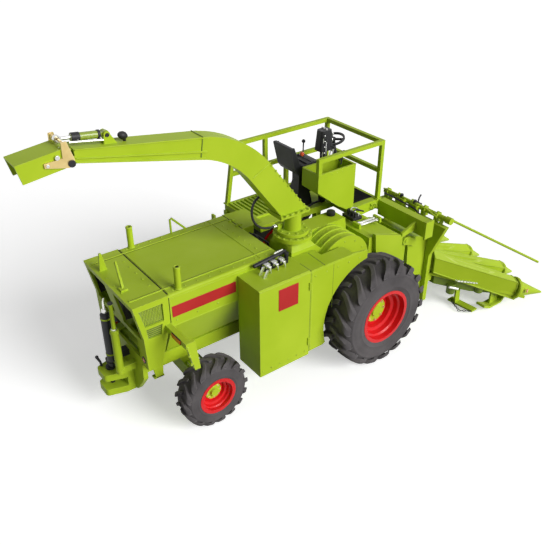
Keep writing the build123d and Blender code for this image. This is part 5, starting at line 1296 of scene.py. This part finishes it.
@dataclass
class Platform:
    """The driver's stand: mat, levers, dials and rail fittings."""

    deck: float = 55.5
    rail_posts: tuple = ((34.3, -2.4), (34.3, 36.0), (-27.0, 36.0))
    dial_rows: tuple = ((14.0, 89.2), (13.9, 86.4))

    def mat(self, shop: Shop) -> None:
        """Lays the ribbed mat on the deck.

        Args:
            shop: The shared tools.
        """
        top = self.deck + 0.35
        base = shop.sculpt().prism(((18.2, 0.2), (33.2, 0.2), (33.2, 34.6), (-5.6, 34.6), (-5.6, 23.4), (18.2, 23.4)),
                                   Axis.Z, self.deck - 0.05, top)
        shop.fit(base, "deck_mat", Look.MAT, edge=0.1)
        rib = shop.sculpt().box((18.7, 0.8, top - 0.1), (18.95, 34.1, top + 0.14))
        shop.row(rib, "deck_mat_ribs", Look.MAT, 24, (0.61, 0, 0))

    def levers(self, shop: Shop) -> None:
        """Adds the levers by the console and the seat, with their knobs.

        Args:
            shop: The shared tools.
        """
        black, bright = shop.sculpt(), shop.sculpt()
        for x, y, z, lean in ((8.2, 8.9, 89.0, 0.4), (9.6, 8.6, 87.2, 0.2), (12.8, 8.8, 84.0, 0.8),
                              (14.6, 8.8, 82.6, 1.2)):
            bright.rod((x - lean, y, 77.6), (x, y, z), 0.28, 8)
            black.knob((x, y, z), 0.72)
        for z in (78.6, 81.4, 84.2, 87.0, 89.6):
            bright.knob((8.6, 8.5, z), 0.38)
        black.rod((8.6, 8.7, 77.4), (8.6, 8.7, 90.6), 0.4, 8)
        black.rod((13.2, 2.0, 77.0), (14.8, 2.2, 82.4), 0.3, 8)
        black.knob((14.9, 2.2, 82.6), 0.8)
        black.rod((15.2, 5.0, 77.0), (16.4, 5.2, 80.8), 0.3, 8)
        black.knob((16.5, 5.2, 81.0), 0.75)
        black.rod((6.0, 21.4, 56.0), (6.2, 20.6, 83.4), 0.32, 8)
        black.knob((6.2, 20.6, 84.0), 0.9)
        black.tube([(0.6, 9.4, 56.2), (4.0, 10.0, 56.8), (16.4, 11.0, 56.4)], [0.5, 0.55, 0.45], 8)
        for y in (12.6, 20.2):
            black.box((22.4, y - 1.3, 56.0), (25.8, y + 1.3, 56.9))
            bright.rod((24.6, y, 55.8), (26.6, y, 58.4), 0.35, 8)
            black.box((24.8, y - 1.4, 58.0), (28.4, y + 1.4, 58.9))
        shop.fit(black, "driver_levers", Look.DARK)
        shop.fit(bright, "driver_lever_rods", Look.STEEL)
        tag = shop.sculpt()
        tag.lathe(((0, 0), (0.9, 0.1), (1.1, 0.9), (0.9, 1.8), (0, 2.0)), (1.6, 16.5, 79.2), (0.5, 0, 1), 18)
        shop.fit(tag, "seat_latch", Look.LENS)

    def dials(self, shop: Shop) -> None:
        """Adds blank dials and switches to the pod, and the seat's seams and ribs.

        Args:
            shop: The shared tools.
        """
        rims, faces = shop.sculpt(), shop.sculpt()
        for x, z in self.dial_rows:
            for y in (9.9, 12.5):
                at, tilted = (x - 0.35, y, z), (1, 0, 0.1)
                rims.lathe(((0.85, 0), (1.05, 0), (1.05, 0.35), (0.85, 0.4)), at, tilted, 20)
                faces.lathe(((0, 0), (0.86, 0), (0.86, 0.18), (0, 0.18)), at, tilted, 20)
        for y in (9.6, 11.2, 12.8):
            rims.rod((10.5, y, 91.4), (10.5, y, 92.3), 0.4, 12)
        shop.fit(rims, "pod_rims", Look.STEEL, edge=0.05)
        shop.fit(faces, "pod_faces", Look.GLASS)
        seat = shop.sculpt()
        for y in (10.9, 22.1):
            seat.tube([(8.0, y, 76.6), (4.0, y, 77.2), (-2.0, y, 76.6), (-4.4, y, 78.4), (-7.6, y, 86.6)], 0.55, 8)
        for x in (-1.4, 1.6, 4.6):
            seat.tube([(x, 11.4, 76.9), (x, 21.6, 76.9)], 0.34, 6)
        for x, z in ((-5.6, 80.4), (-6.5, 83.0)):
            seat.tube([(x + 0.5, 11.4, z), (x + 0.5, 21.6, z)], 0.34, 6)
        shop.fit(seat, "seat_ribs", Look.DARK)

    def rails(self, shop: Shop) -> None:
        """Adds gussets, clamps and bolts to the railing and the ladder.

        Args:
            shop: The shared tools.
        """
        work = shop.sculpt()
        for x, y in self.rail_posts:
            work.box((x - 1.5, y - 1.5, self.deck - 0.05), (x + 1.5, y + 1.5, self.deck + 0.5))
        for x, z in ((29.4, 52.6), (31.6, 52.8)):
            work.lathe(((0.9, -0.25), (1.4, -0.25), (1.4, 0.25), (0.9, 0.25)), (x, -3.9, z), AHEAD, 18)
        work.box((28.8, -4.2, 54.0), (32.2, -3.3, 54.6))
        shop.fit(work, "rail_feet", Look.PAINT, edge=0.08)
        tread = shop.sculpt().box((-34.6, 34.4, 12.9), (-27.4, 36.6, 13.15))
        shop.fit(tread, "ladder_treads", Look.MAT)
        bolt = shop.sculpt().bolt((-24.0, 37.0, 53.6), LEFTWARDS, 0.34, 0.3)
        shop.row(bolt, "deck_edge_bolts", Look.PAINT, 10, (6.2, 0, 0))
        rivet = shop.sculpt().bolt((-3.4, -3.4, 76.6), RIGHTWARDS, 0.24, 0.2)
        shop.row(rivet, "console_rivets", Look.PAINT, 7, (3.2, 0, 0))
        lip = shop.sculpt()
        for y in (-3.55, 7.75):
            lip.box((-4.4, y, 77.55), (17.6, y + 0.4, 78.1))
        lip.box((17.2, -3.5, 77.55), (17.65, 8.1, 78.1))
        shop.fit(lip, "console_lip", Look.PAINT, edge=0.08)

    def build(self, shop: Shop) -> None:
        """Builds the driver's stand."""
        for step in (self.mat, self.levers, self.dials, self.rails):
            step(shop)


@dataclass
class Spout:
    """Hose, joints and fittings of the discharge spout. The hose's own two sizes are metres."""

    line_y: float = CROP_LINE_Y
    half: float = 3.7
    flange_half: float = 5.4
    flange_z: float = 75.0
    stud: tuple = (-104.5, 123.4)
    leg_points: int = 3
    bend_steps: int = 14
    route: tuple = ((-33.5, -10.6, 82.4), (-39.5, -10.6, 82.4), (-44.6, -10.6, 80.3), (-46.2, -10.8, 75.2),
                    (-44.6, -11.2, 69.8), (-39.8, -12.2, 66.6), (-34.4, -12.2, 66.6))
    hose_length: float = 0.032
    hose_diameter: float = 0.001

    def hose(self, shop: Shop) -> None:
        """Builds the grease hose, a free cord from the leg down to the flange.

        Args:
            shop: The shared tools.
        """
        curve = bpy.data.curves.new("grease_hose", "CURVE")
        curve.dimensions, curve.bevel_depth, curve.bevel_resolution = "3D", self.hose_diameter / 2, 4
        curve.use_fill_caps, curve.resolution_u = True, 16
        spline = curve.splines.new("NURBS")
        spline.points.add(len(self.route) - 1)
        points = [shop.datum.at(p) for p in self.route]
        for point, at in zip(spline.points, points):
            point.co = (*at, 1.0)
        spline.order_u = 3
        spline.use_endpoint_u = True
        curve.materials.append(shop.finish[Look.HOSE])
        made = bpy.data.objects.new("grease_hose", curve)
        mount(made, "spout", replaces=["chute_hose"])
        ferrules = shop.sculpt()
        ferrules.rod((-33.2, -10.6, 82.4), (-35.0, -10.6, 82.4), 0.78, 12)
        ferrules.rod((-34.2, -12.2, 66.6), (-36.0, -12.2, 66.6), 0.78, 12)
        shop.fit(ferrules, "hose_ferrules", Look.STEEL, edge=0.06, body="spout")

    def _edge(self, share: float) -> list[Point]:
        """Follows the spout's side at a share of its depth, from the leg to the mouth.

        Args:
            share: 0 on its outer face and 1 on its inner face.

        Returns:
            Points as X and Z.
        """
        outer = self._bent((-24.4, 75.4), (-53.8, 113.2), (-116.3, 122.08), 44.0)
        inner = self._bent((-37.4, 75.4), (-59.8, 104.9), (-116.3, 117.62), 36.0)
        return [(a[0] + (b[0] - a[0]) * share, a[1] + (b[1] - a[1]) * share) for a, b in zip(outer, inner)]

    def _bent(self, start: Point, corner: Point, end: Point, radius: float) -> list[Point]:
        """Rounds the corner between two straight runs.

        Args:
            start: First point.
            corner: The corner.
            end: Last point.
            radius: The bend's radius.

        Returns:
            The points, the bend's included.
        """
        a, c, b = (Vector(p) for p in (start, corner, end))
        back, on = (a - c).normalized(), (b - c).normalized()
        half = back.angle(on) / 2
        reach = radius / math.tan(half)
        centre = c + (back + on).normalized() * (radius / math.sin(half))
        first, last = c + back * reach - centre, c + on * reach - centre
        sweep = first.angle(last)
        turn = 1 if first.x * last.y - first.y * last.x > 0 else -1
        steps = self.bend_steps
        arc = [centre + Matrix.Rotation(turn * sweep * k / steps, 2) @ first for k in range(steps + 1)]
        leg = [a.lerp(arc[0], k / self.leg_points) for k in range(self.leg_points)]
        return [*leg, *arc, *[arc[-1].lerp(b, k / 4) for k in (1, 2, 3)], b]

    def _strip(self, sculpt: Sculpt, low: float, high: float, y: float, out: float) -> None:
        """Adds a raised strip along the straight boom's side.

        Args:
            sculpt: The mesh in work.
            low: Share of the depth where it starts.
            high: Share of the depth where it ends.
            y: The side's face.
            out: How far it stands out.
        """
        straight = self.leg_points + self.bend_steps - 1
        first, second = (self._edge(share)[straight:] for share in (low, high))
        sculpt.loft([[(a[0], y, a[1]), (a[0], y + out, a[1]), (b[0], y + out, b[1]), (b[0], y, b[1])]
                      for a, b in zip(first, second)])

    def joints(self, shop: Shop) -> None:
        """Adds the folded edges along the spout, its cross joints, the seam among them in painted shade, and their
        rivets.

        Args:
            shop: The shared tools.
        """
        work = shop.sculpt()
        for side in (-1, 1):
            y = self.line_y + side * (self.half - 0.05)
            for low, high, out in ((0.6, 0.68, 0.5), (0.0, 0.07, 0.34), (0.9, 1.0, 0.34)):
                self._strip(work, low, high, y, side * out)
        shop.fit(work, "spout_folds", Look.PAINT, edge=0.06, body="spout")
        seam, weld = shop.sculpt(), shop.sculpt()
        outer, inner = self._edge(-0.015), self._edge(0.88)
        for sculpt, k, r in ((seam, self.leg_points + self.bend_steps, 0.26), (weld, self.leg_points, 0.22)):
            left, right = self.line_y + self.half + 0.06, self.line_y - self.half - 0.06
            top, low = outer[k], inner[k]
            sculpt.tube([(low[0], right, low[1]), (top[0], right, top[1]), (top[0], left, top[1]),
                         (low[0], left, low[1])], r, 8)
        # The cross seam is painted shade: a band in the shaded copy of the paint.
        shop.fit(seam, "boom_seam", Look.DEEP, body="spout")
        shop.fit(weld, "boom_weld", Look.PAINT, body="spout")
        edge = self._edge(0.03)
        start, end = Vector(edge[0]), Vector(edge[self.leg_points])
        step = (end - start) / 9
        for side, label in SIDES:
            y = self.line_y + side * (self.half + 0.15)
            rivet = shop.sculpt().bolt((start.x - 1.1, y, start.y + 1.5), (0, side, 0), 0.34, 0.3)
            shop.row(rivet, f"spout_leg_rivets_{label}", Look.PAINT, 9, (step.x, 0, step.y), body="spout")
        for (side, label), x, count in zip(SIDES, (-36.2, -30.6), (5, 3)):
            head = shop.sculpt().bolt((x, self.line_y + side * self.flange_half, self.flange_z), UP, 0.5, 0.5)
            shop.row(head, f"spout_foot_bolts_{label}", Look.PAINT, count, (2.9, 0, 0), body="spout")

    def fittings(self, shop: Shop) -> None:
        """Adds the boom's cap and studs, the flap linkage's pins, and the barrel's bands and side rod.

        Args:
            shop: The shared tools.
        """
        y = self.line_y
        cap = shop.sculpt()
        cap.lathe(((0, -1.7), (0.7, -1.4), (1.25, -0.6), (1.35, 0.3), (1.1, 1.1), (0.6, 1.7), (0, 1.9)),
                   (-98.6, y, 121.4), (-0.9, -0.1, 0.4), 28)
        cap.rod((-98.2, y, 119.2), (-98.2, y, 121.4), 0.5, 10)
        shop.fit(cap, "boom_cap", Look.DARK, edge=0.06, body="spout")
        stud = shop.sculpt()
        x, z = self.stud
        stud.rod((x, y - 1.95, z), (x, y + 1.95, z), 0.62, 14)
        shop.fit(stud, "boom_studs", Look.DARK, body="spout")
        pins, bright = shop.sculpt(), shop.sculpt()
        for side in (-1, 1):
            face = y + side * 5.3
            pins.rod((-118.3, face - side * 0.3, 118.6), (-118.3, face + side * 0.55, 118.6), 1.15, 20)
            for pin_x, pin_z, r, sides in ((-122.4, 121.4, 0.75, 16), (-125.6, 119.6, 0.6, 6)):
                bright.rod((pin_x, face - side * 0.3, pin_z), (pin_x, face + side * 0.35, pin_z), r, sides)
        shop.fit(pins, "flap_hinge_caps", Look.DARK, edge=0.08, body="flap")
        shop.fit(bright, "flap_link_pins", Look.STEEL, edge=0.06, body="flap")
        bands = shop.sculpt()
        a, b = Vector((x, y, z)), Vector((-119.8, y, 125.1))
        way = (b - a).normalized()
        for at, long in ((1.8, 1.0), (8.4, 2.8)):
            bands.lathe(((1.24, 0), (1.45, 0.1), (1.45, long - 0.1), (1.24, long)), a + way * at, way, 24)
        side_rod = shop.sculpt().rod(a + Vector((-1.6, -1.9, -1.2)), b + Vector((2.8, -1.9, -1.2)), 0.42, 12)
        for back, outer_z, inner_z in ((-2.0, -1.1, -0.2), (-9.4, -0.2, 0.6)):
            side_rod.rod(a + Vector((back, -2.0, outer_z)), a + Vector((back, -0.6, inner_z)), 0.4, 10)
        shop.fit(side_rod, "flap_side_rod", Look.STEEL, body="flap_barrel")
        shop.fit(bands, "flap_barrel_bands", Look.DARK, edge=0.05, body="flap_barrel")

    def build(self, shop: Shop) -> None:
        """Builds the spout's dressing after its hose."""
        self.joints(shop)
        self.fittings(shop)


@dataclass
class Header:
    """Fittings of the maize header."""

    crest_x: float = 48.6
    clamps: tuple = (4.0, -3.6, -12.4, -20.6, -28.6)
    rows: tuple = (-48.5, -26.5, -4.5, 17.5)

    def crest(self, shop: Shop) -> None:
        """Adds the clamps, valves and pipes along the crest tube.

        Args:
            shop: The shared tools.
        """
        paint, black, bright = shop.sculpt(), shop.sculpt(), shop.sculpt()
        for y in self.clamps:
            paint.box((self.crest_x - 1.7, y - 1.0, 49.4), (self.crest_x + 1.7, y + 1.0, 53.9))
            bright.rod((self.crest_x, y, 53.6), (self.crest_x, y, 54.7), 0.5, 6)
        for y in (-7.6, -16.2):
            paint.box((44.6, y - 2.2, 50.0), (47.4, y + 2.2, 54.6))
            black.rod((46.0, y, 54.4), (46.0, y, 56.4), 0.9, 14)
        black.box((48.2, -16.2, 50.6), (51.6, -12.8, 53.0))
        black.tube([(50.2, -14.5, 52.8), (51.2, -14.2, 55.4), (52.8, -13.8, 56.4)], 0.4, 8)
        bright.tube([(46.4, 5.0, 54.6), (45.6, -1.0, 55.2), (45.6, -24.0, 55.0), (46.6, -30.0, 52.4)], 0.38, 8)
        black.tube([(45.0, 3.0, 53.2), (44.2, -4.0, 53.8), (44.0, -18.0, 53.2), (44.8, -26.0, 49.0)], 0.45, 8)
        shop.fit(paint, "crest_clamps", Look.PAINT, edge=0.12, body="header")
        shop.fit(black, "crest_valves", Look.DARK, edge=0.1, body="header")
        shop.fit(bright, "crest_pipes", Look.PAINT, body="header")

    def gathering(self, shop: Shop) -> None:
        """Adds the gathering chains beside each row's way, and the rows' drives below in painted shade, where shade
        falls under the deck.

        Args:
            shop: The shared tools.
        """
        for i, y in enumerate(self.rows):
            spread = y + 5.5
            link = shop.sculpt()
            link.tube([(55.0, spread * 0.78 - 7.6, 19.6), (56.4, spread * 0.79 - 7.6, 19.1)], 0.36, 6)
            link.box((55.3, spread * 0.78 - 8.0, 19.2), (56.0, spread * 0.78 - 6.4, 19.7))
            shop.row(link, f"gathering_chain_{i + 1}", Look.STEEL, 17, (1.9, spread * 0.0115, -0.68), body="header")
        shaded_green, bright = shop.sculpt(), shop.sculpt()
        for side in (-1, 1):
            rings = []
            for x, inner, outer, low, high in ((51.0, 9.0, 14.6, 14.0, 19.8), (66.0, 18.5, 26.0, 9.4, 14.9),
                                               (83.0, 28.0, 36.0, 6.0, 9.4)):
                a, b = (CROP_LINE_Y + side * v for v in (inner, outer))
                rings.append([(x, a, low), (x, b, low), (x, b, high), (x, a, high)])
            shaded_green.loft(rings)
            for x, out in ((58.0, 20.4), (70.0, 28.4)):
                shaded_green.rod((x, CROP_LINE_Y + side * out, 9.0), (x, CROP_LINE_Y + side * out, 14.5), 2.2, 20)
        bright.rod((55.0, -37.0, 14.0), (59.0, -39.6, 12.6), 0.7, 10)
        # The drives are painted shade: dark green blocks where the deck's shade falls.
        shop.fit(shaded_green, "row_drives", Look.DEEP, edge=0.2, body="header")
        shop.fit(bright, "row_drive_pins", Look.STEEL, edge=0.08, body="header")

    def chain(self, shop: Shop) -> None:
        """Hangs the stop chain below the parking foot.

        Args:
            shop: The shared tools.
        """
        loop = [(0.0, 0.42 * math.sin(a), 0.72 * math.cos(a)) for a in (2 * math.pi * k / 10 for k in range(11))]
        drop, rise = Vector((61.2, -35.6, 1.9)), Vector((62.6, -47.4, 1.9))
        low = Vector((58.9, -42.4, 1.0))
        for label, start, end, count in (("stop_chain_rear", drop, low, 6), ("stop_chain_front", low, rise, 5)):
            step = (end - start) / count
            way = step.normalized()
            turn = Vector(UP).rotation_difference(way)
            link = shop.sculpt()
            link.tube([start + turn @ Vector(p) for p in loop], 0.17, 5)
            shop.run(link, label, Look.DARK, count, "header", centre=start, step=step, axis=way, turn=math.pi / 2)

    def marks(self, shop: Shop) -> None:
        """Adds the round marker by the right-hand point, and the frame's bolts.

        Args:
            shop: The shared tools.
        """
        tag = shop.sculpt().lathe(((0, 0), (1.0, 0), (1.0, 0.3), (0, 0.35)), (88.2, -59.6, 10.4), (0.25, -1, 0.1), 16)
        shop.fit(tag, "point_marker", Look.LENS, body="header")
        bolt = shop.sculpt().bolt((47.5, -17.5, 9.0), AHEAD, 0.45, 0.4)
        shop.row(bolt, "frame_bolts", Look.PAINT, 7, (0, 5.8, 0), body="header")
        bolt = shop.sculpt().bolt((45.0, -20.0, 47.8), (-1, 0, 0), 0.45, 0.4)
        shop.row(bolt, "frame_top_bolts", Look.PAINT, 5, (0, 4.0, 0), body="header")

    def build(self, shop: Shop) -> None:
        """Builds the header's fittings."""
        for step in (self.crest, self.gathering, self.chain, self.marks):
            step(shop)


@dataclass
class Dividers:
    """The five hoods over the rows, with their points."""

    inner: tuple = (-37.5, -15.5, 6.5, 28.5)
    throat_x: float = 48.0
    base_x: float = 94.6
    tip_x: float = 107.8
    spread: float = 3.143
    throat: tuple = (1.3, 22.0, 29.0, 33.0)
    nose: tuple = (3.4, 5.6, 12.2, 15.0)
    base_r: float = 3.9
    sheet: float = 0.6
    splayed: tuple = (((48.0, -29.8), (1.7, 22.4, 30.6, 34.2)), ((84.0, -52.2), (4.0, 5.0, 15.2, 17.2)),
                      (86.2, -53.6, 9.9), (102.4, -59.6, 4.0), 4.9)

    def units(self) -> list[tuple]:
        """Lists the row units from the splayed one at the right to the left.

        Returns:
            Each unit's throat and nose, its point's base and tip, and the radius of the base.
        """
        made = [self.splayed]
        for y in self.inner:
            middle = CROP_LINE_Y + (y - CROP_LINE_Y) / self.spread
            made.append((((self.throat_x, middle), self.throat), ((self.base_x, y), self.nose),
                         (self.base_x, y, 9.6), (self.tip_x, y, 3.5), self.base_r))
        return made

    def _section(self, middle: Point, size: Point, thin: float) -> list[Point]:
        """Draws a hood's roof across its line.

        Args:
            middle: Its X and Y.
            size: Half width, foot, eaves and ridge heights.
            thin: How far inside the outer skin.

        Returns:
            Points from one foot over the ridge to the other.
        """
        half, foot, eaves, ridge = size
        x, y = middle
        half -= thin
        return [(x, y - half, foot), (x, y - half, eaves - thin), (x, y - half * 0.12, ridge - thin),
                (x, y + half * 0.12, ridge - thin), (x, y + half, eaves - thin), (x, y + half, foot)]

    def build(self, shop: Shop) -> None:
        """Builds the hoods, their folded edges, the points and their collars.

        Args:
            shop: The shared tools.
        """
        hoods, edges, points, collars = (shop.sculpt() for _ in range(4))
        for rear, nose, foot, tip, r in self.units():
            rings = [self._section(*end, 0.0) + self._section(*end, self.sheet)[::-1] for end in (rear, nose)]
            hoods.loft(rings)
            first, last = (self._section(*end, 0.0) for end in (rear, nose))
            for k, width in ((0, 0.34), (1, 0.22), (4, 0.22), (5, 0.34)):
                edges.tube([first[k], last[k]], width, 6)
            edges.tube(last, 0.3, 6)
            way = Vector(tip) - Vector(foot)
            reach = way.length
            points.lathe(((0, -0.4), (r, -0.4), (r, 0.4), (r * 0.94, 1.2), (r * 0.6, reach * 0.42),
                          (0.62, reach - 0.6), (0.4, reach - 0.1), (0, reach)), foot, way, 48)
            collars.lathe(((r - 0.3, -1.3), (r + 0.6, -1.1), (r + 0.9, -0.4), (r + 0.8, 0.3), (r + 0.3, 0.7),
                           (r - 0.3, 0.7)), foot, way, 56)
        shop.fit(hoods, "unit_hoods", Look.PAINT, edge=0.12, body="header", replaces=["row_hoods"])
        shop.fit(edges, "unit_hood_folds", Look.PAINT, body="header")
        shop.fit(points, "unit_points", Look.PAINT, edge=0.1, body="header", replaces=["divider_points"])
        shop.fit(collars, "unit_point_collars", Look.PAINT, edge=0.06, body="header")


class Studio:
    """Camera, floor, world and lamps."""

    CAMERA_AT = (-0.16938, -0.19905, 0.19832)
    LOOKS_ALONG = (0.5081, 0.6764, -0.5331)
    LENS = 44.3
    SENSOR = 36.0

    def camera(self) -> None:
        """Makes the camera at the wanted angle."""
        data = bpy.data.cameras.new("camera")
        data.lens, data.sensor_width = self.LENS, self.SENSOR
        data.clip_start, data.clip_end = 0.01, 20
        made = bpy.data.objects.new("camera", data)
        made.location = self.CAMERA_AT
        made.rotation_euler = Vector(self.LOOKS_ALONG).to_track_quat("-Z", "Y").to_euler()
        bpy.context.scene.collection.objects.link(made)
        bpy.context.scene.camera = made

    def _seen(self, graph: Graph) -> bpy.types.NodeSocket:
        """Gives 1 for rays that see the background directly, in gloss or through glass."""
        path = graph.add("ShaderNodeLightPath").outputs
        seen = graph.calc("MAXIMUM", path["Is Camera Ray"], path["Is Glossy Ray"])
        return graph.calc("MAXIMUM", seen, path["Is Transmission Ray"])

    def world(self, level: float) -> None:
        """Makes a white surround that lights the object softly.

        Args:
            level: Its strength as light.
        """
        world = bpy.data.worlds.new("surround")
        world.use_nodes = True
        graph = Graph(world.node_tree)
        graph.tree.nodes.clear()
        strength = graph.scale(self._seen(graph), 0.0, 1.0, level, 1.0)
        light = graph.add("ShaderNodeBackground", {"Color": (1, 1, 1, 1), "Strength": strength})
        sink = graph.add("ShaderNodeOutputWorld")
        graph.tree.links.new(light.outputs[0], sink.inputs[0])
        bpy.context.scene.world = world

    def floor(self, glow: float) -> None:
        """Makes the pale floor, which keeps the object's shadow.

        Args:
            glow: Light that it adds where it is seen directly.
        """
        bm = bmesh.new()
        bmesh.ops.create_grid(bm, x_segments=1, y_segments=1, size=6.0)
        mesh = bpy.data.meshes.new("floor")
        bm.to_mesh(mesh)
        bm.free()
        made = bpy.data.objects.new("floor", mesh)
        made.location.z = -0.00005
        bpy.context.scene.collection.objects.link(made)
        material = bpy.data.materials.new("pale_floor")
        material.use_nodes = True
        graph = Graph(material.node_tree)
        graph.tree.nodes.clear()
        seen = self._seen(graph)
        pale = graph.mix(seen, (0.42, 0.42, 0.42, 1), (1, 1, 1, 1))
        matte = graph.add("ShaderNodeBsdfDiffuse", {"Color": pale})
        seen = graph.calc("MULTIPLY", seen, glow)
        light = graph.add("ShaderNodeEmission", {"Color": (1, 1, 1, 1), "Strength": seen})
        both = graph.add("ShaderNodeAddShader", {0: matte.outputs[0], 1: light.outputs[0]})
        sink = graph.add("ShaderNodeOutputMaterial")
        graph.tree.links.new(both.outputs[0], sink.inputs[0])
        mesh.materials.append(material)

    def lamp(self, name: str, towards: Point, strength: float, spread: float) -> None:
        """Adds a broad lamp far away.

        Args:
            name: The lamp's name.
            towards: Direction from the object to it.
            strength: Its strength.
            spread: Its angular size in degrees.
        """
        data = bpy.data.lights.new(name, "SUN")
        data.energy, data.angle = strength, math.radians(spread)
        made = bpy.data.objects.new(name, data)
        made.rotation_euler = Vector(towards).to_track_quat("Z", "Y").to_euler()
        made.location = (0, 0, 1)
        bpy.context.scene.collection.objects.link(made)

    def build(self) -> None:
        """Builds the studio."""
        scene = bpy.context.scene
        scene.view_settings.view_transform = "Standard"
        self.world(level=0.12)
        self.floor(glow=0.46)
        self.lamp("key", towards=(0.3, -0.86, 0.44), strength=3.1, spread=36)
        self.lamp("top", towards=(-0.1, -0.1, 1.0), strength=0.15, spread=60)


FRONT = {
    "name": "front", "axle_x": 0.0, "middle_y": 38.25, "outer_r": 25.0, "width": 17.5, "bead_r": 12.2, "lugs": 18,
    "sweep": 0.30, "lug_half": 1.9, "bolt_ring": 4.85, "bolt_face": 39.84, "bolt_r": 0.56,
}
REAR = {
    "name": "rear", "axle_x": -80.6, "middle_y": 30.4, "outer_r": 15.0, "width": 10.0, "bead_r": 7.5, "lugs": 16,
    "sweep": 0.33, "lug_half": 1.3, "bolt_ring": 2.95, "bolt_face": 31.6, "bolt_r": 0.36,
}
WHEELS = tuple(Wheel(side=side, **sizes) for sizes in (FRONT, REAR) for side in (+1, -1))


def main() -> None:
    """Builds the whole visual model in order."""
    logging.basicConfig(level=logging.INFO, format="%(message)s")
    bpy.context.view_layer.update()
    studio = Studio()
    studio.camera()
    shop = Shop(Datum.read(), Finishes(), Repeats())
    shop.finish.dress_frame()
    spout = Spout()
    spout.hose(shop)
    for part in (*WHEELS, EngineHood(), RearEnd(), SideBox(), CropHousings(), Platform(), spout, Header(),
                 Dividers()):
        part.build(shop)
        LOG.info("%s done", type(part).__name__)
    studio.build()


if __name__ == "__main__":
    main()
